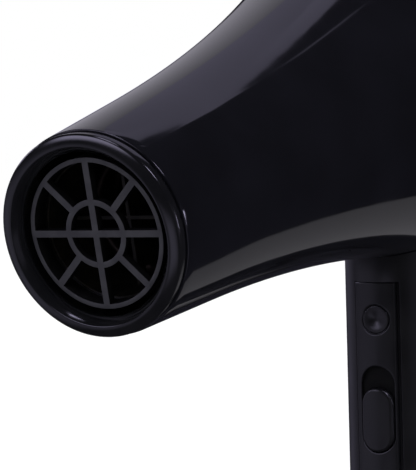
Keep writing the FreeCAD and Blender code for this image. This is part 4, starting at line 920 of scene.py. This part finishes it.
# highBack, highBackHead and highBackLeft are what the barrel's upper side mirrors. They meet
# without a seam, so the sides where they meet hardly fade, and the last two stand a few
# millimetres behind the first. highBackEdge gives the thin streak beside them.
panels = {
    "highBack": {"at": (-0.265, 1.1, 1.22), "size": (1.07, 1.2), "strength": 0.62,
                 "fades": (0.0005, 0.03, 0.1, 0.0005), "leftLevel": 0.58},
    "highBackHead": {"at": (-0.561, 1.103, 1.765), "size": (0.9, 1.4), "strength": 0.54,
                     "fades": (0.0005, 0.04, 0.0005, 0.1), "turn": 60},
    "highBackLeft": {"at": (-1.02, 1.102, 1.2), "size": (0.45, 1.8), "strength": 0.37,
                     "fades": (0.25, 0.0005, 0.1, 0.1), "leftLevel": 2.1, "colour": "#ebe7f6"},
    "highBackEdge": {"at": (0.275, 1.1, 2.04), "size": (0.06, 0.28), "strength": 0.34,
                     "fades": (0.3, 0.3, 0.2, 0.2)},
    # pale and low behind the dryer, like lit paper
    "lowBack": {"at": (0.03, 1.1, -0.48), "size": (0.88, 0.62), "strength": 0.26,
                "fades": (0.2, 0.04, 0.2, 0.2), "colour": "#f3f0f8"},
    "paperBack": {"angle": (212, 2), "size": (0.9, 0.22), "strength": 0.8, "fades": (0.1,) * 4},
    # broad, in front and at both sides
    "frontLeft": {"angle": (-52, -20), "size": (2.2, 1.4), "strength": 0.38,
                  "fades": (0.35, 0.35, 0.3, 0.35)},
    "frontLow": {"angle": (4, -28), "size": (0.8, 0.7), "strength": 0.75, "fades": (0.35,) * 4},
    "frontTop": {"angle": (-24, 26), "size": (1.4, 0.6), "strength": 4.2, "fades": (0.3,) * 4},
    "farLeft": {"angle": (-112, -6), "size": (1.1, 1.0), "strength": 0.30, "fades": (0.35,) * 4},
    "farRight": {"angle": (78, -4), "size": (1.1, 1.0), "strength": 0.22, "fades": (0.3,) * 4},
    # small and bright, above and at both sides
    "overhead": {"angle": (-20, 74), "size": (0.45, 0.3), "strength": 9, "fades": (0.15,) * 4},
    "leftWindow": {"angle": (-86, 20), "size": (0.3, 0.4), "strength": 5, "fades": (0.2,) * 4},
    "rightWindow": {"angle": (121, 5), "size": (0.2, 0.3), "strength": 11, "fades": (0.2,) * 4},
    "highRight": {"angle": (85, 48), "size": (0.35, 0.35), "strength": 14, "fades": (0.2,) * 4},
}
for name, values in panels.items():
    softPanel(name, **values)

# the far walls of the studio, almost black
bpy.ops.object.select_all(action="DESELECT")
bpy.ops.mesh.primitive_ico_sphere_add(subdivisions=3, radius=studio["wallRadius"],
                                      location=(0, 0, 0))
walls = bpy.context.object
walls.name = "darkWalls"
gloom = bpy.data.materials.new("dark studio wall")
gloom.use_nodes = True
gloom.node_tree.nodes.clear()
dim = addNode(gloom.node_tree, "ShaderNodeEmission", {
    "Color": linearColour(studio["wallColour"]), "Strength": studio["wallGlow"]})
addNode(gloom.node_tree, "ShaderNodeOutputMaterial", {"Surface": dim.outputs[0]})
walls.data.materials.append(gloom)
for kind in ("camera", "diffuse", "transmission", "volume_scatter", "shadow"):
    setattr(walls, "visible_" + kind, False)

# camera: where the dryer's outlet is seen a little from the right and almost level
lens = {"azimuth": 30.496, "elevation": 2.396, "roll": 1.617, "distance": 380.77, "right": -24.824,
        "up": -0.540, "focal": 140.4}
a, e, r = (radians(lens[key]) for key in ("azimuth", "elevation", "roll"))
back = Vector((sin(a) * cos(e), -cos(a) * cos(e), sin(e)))
level = Vector((cos(a), sin(a), 0))
upright = back.cross(level)
right = level * cos(r) - upright * sin(r)
up = upright * cos(r) + level * sin(r)
cameraData = bpy.data.cameras.new("camera")
cameraData.lens = lens["focal"]
cameraData.clip_start = 0.01
camera = bpy.data.objects.new("camera", cameraData)
scene.collection.objects.link(camera)
spot = outletCentre + (back * lens["distance"] - right * lens["right"] - up * lens["up"]) * mm
camera.matrix_world = Matrix((
    (right.x, up.x, back.x, spot.x), (right.y, up.y, back.y, spot.y),
    (right.z, up.z, back.z, spot.z), (0, 0, 0, 1)))
scene.camera = camera
print("studio ready")
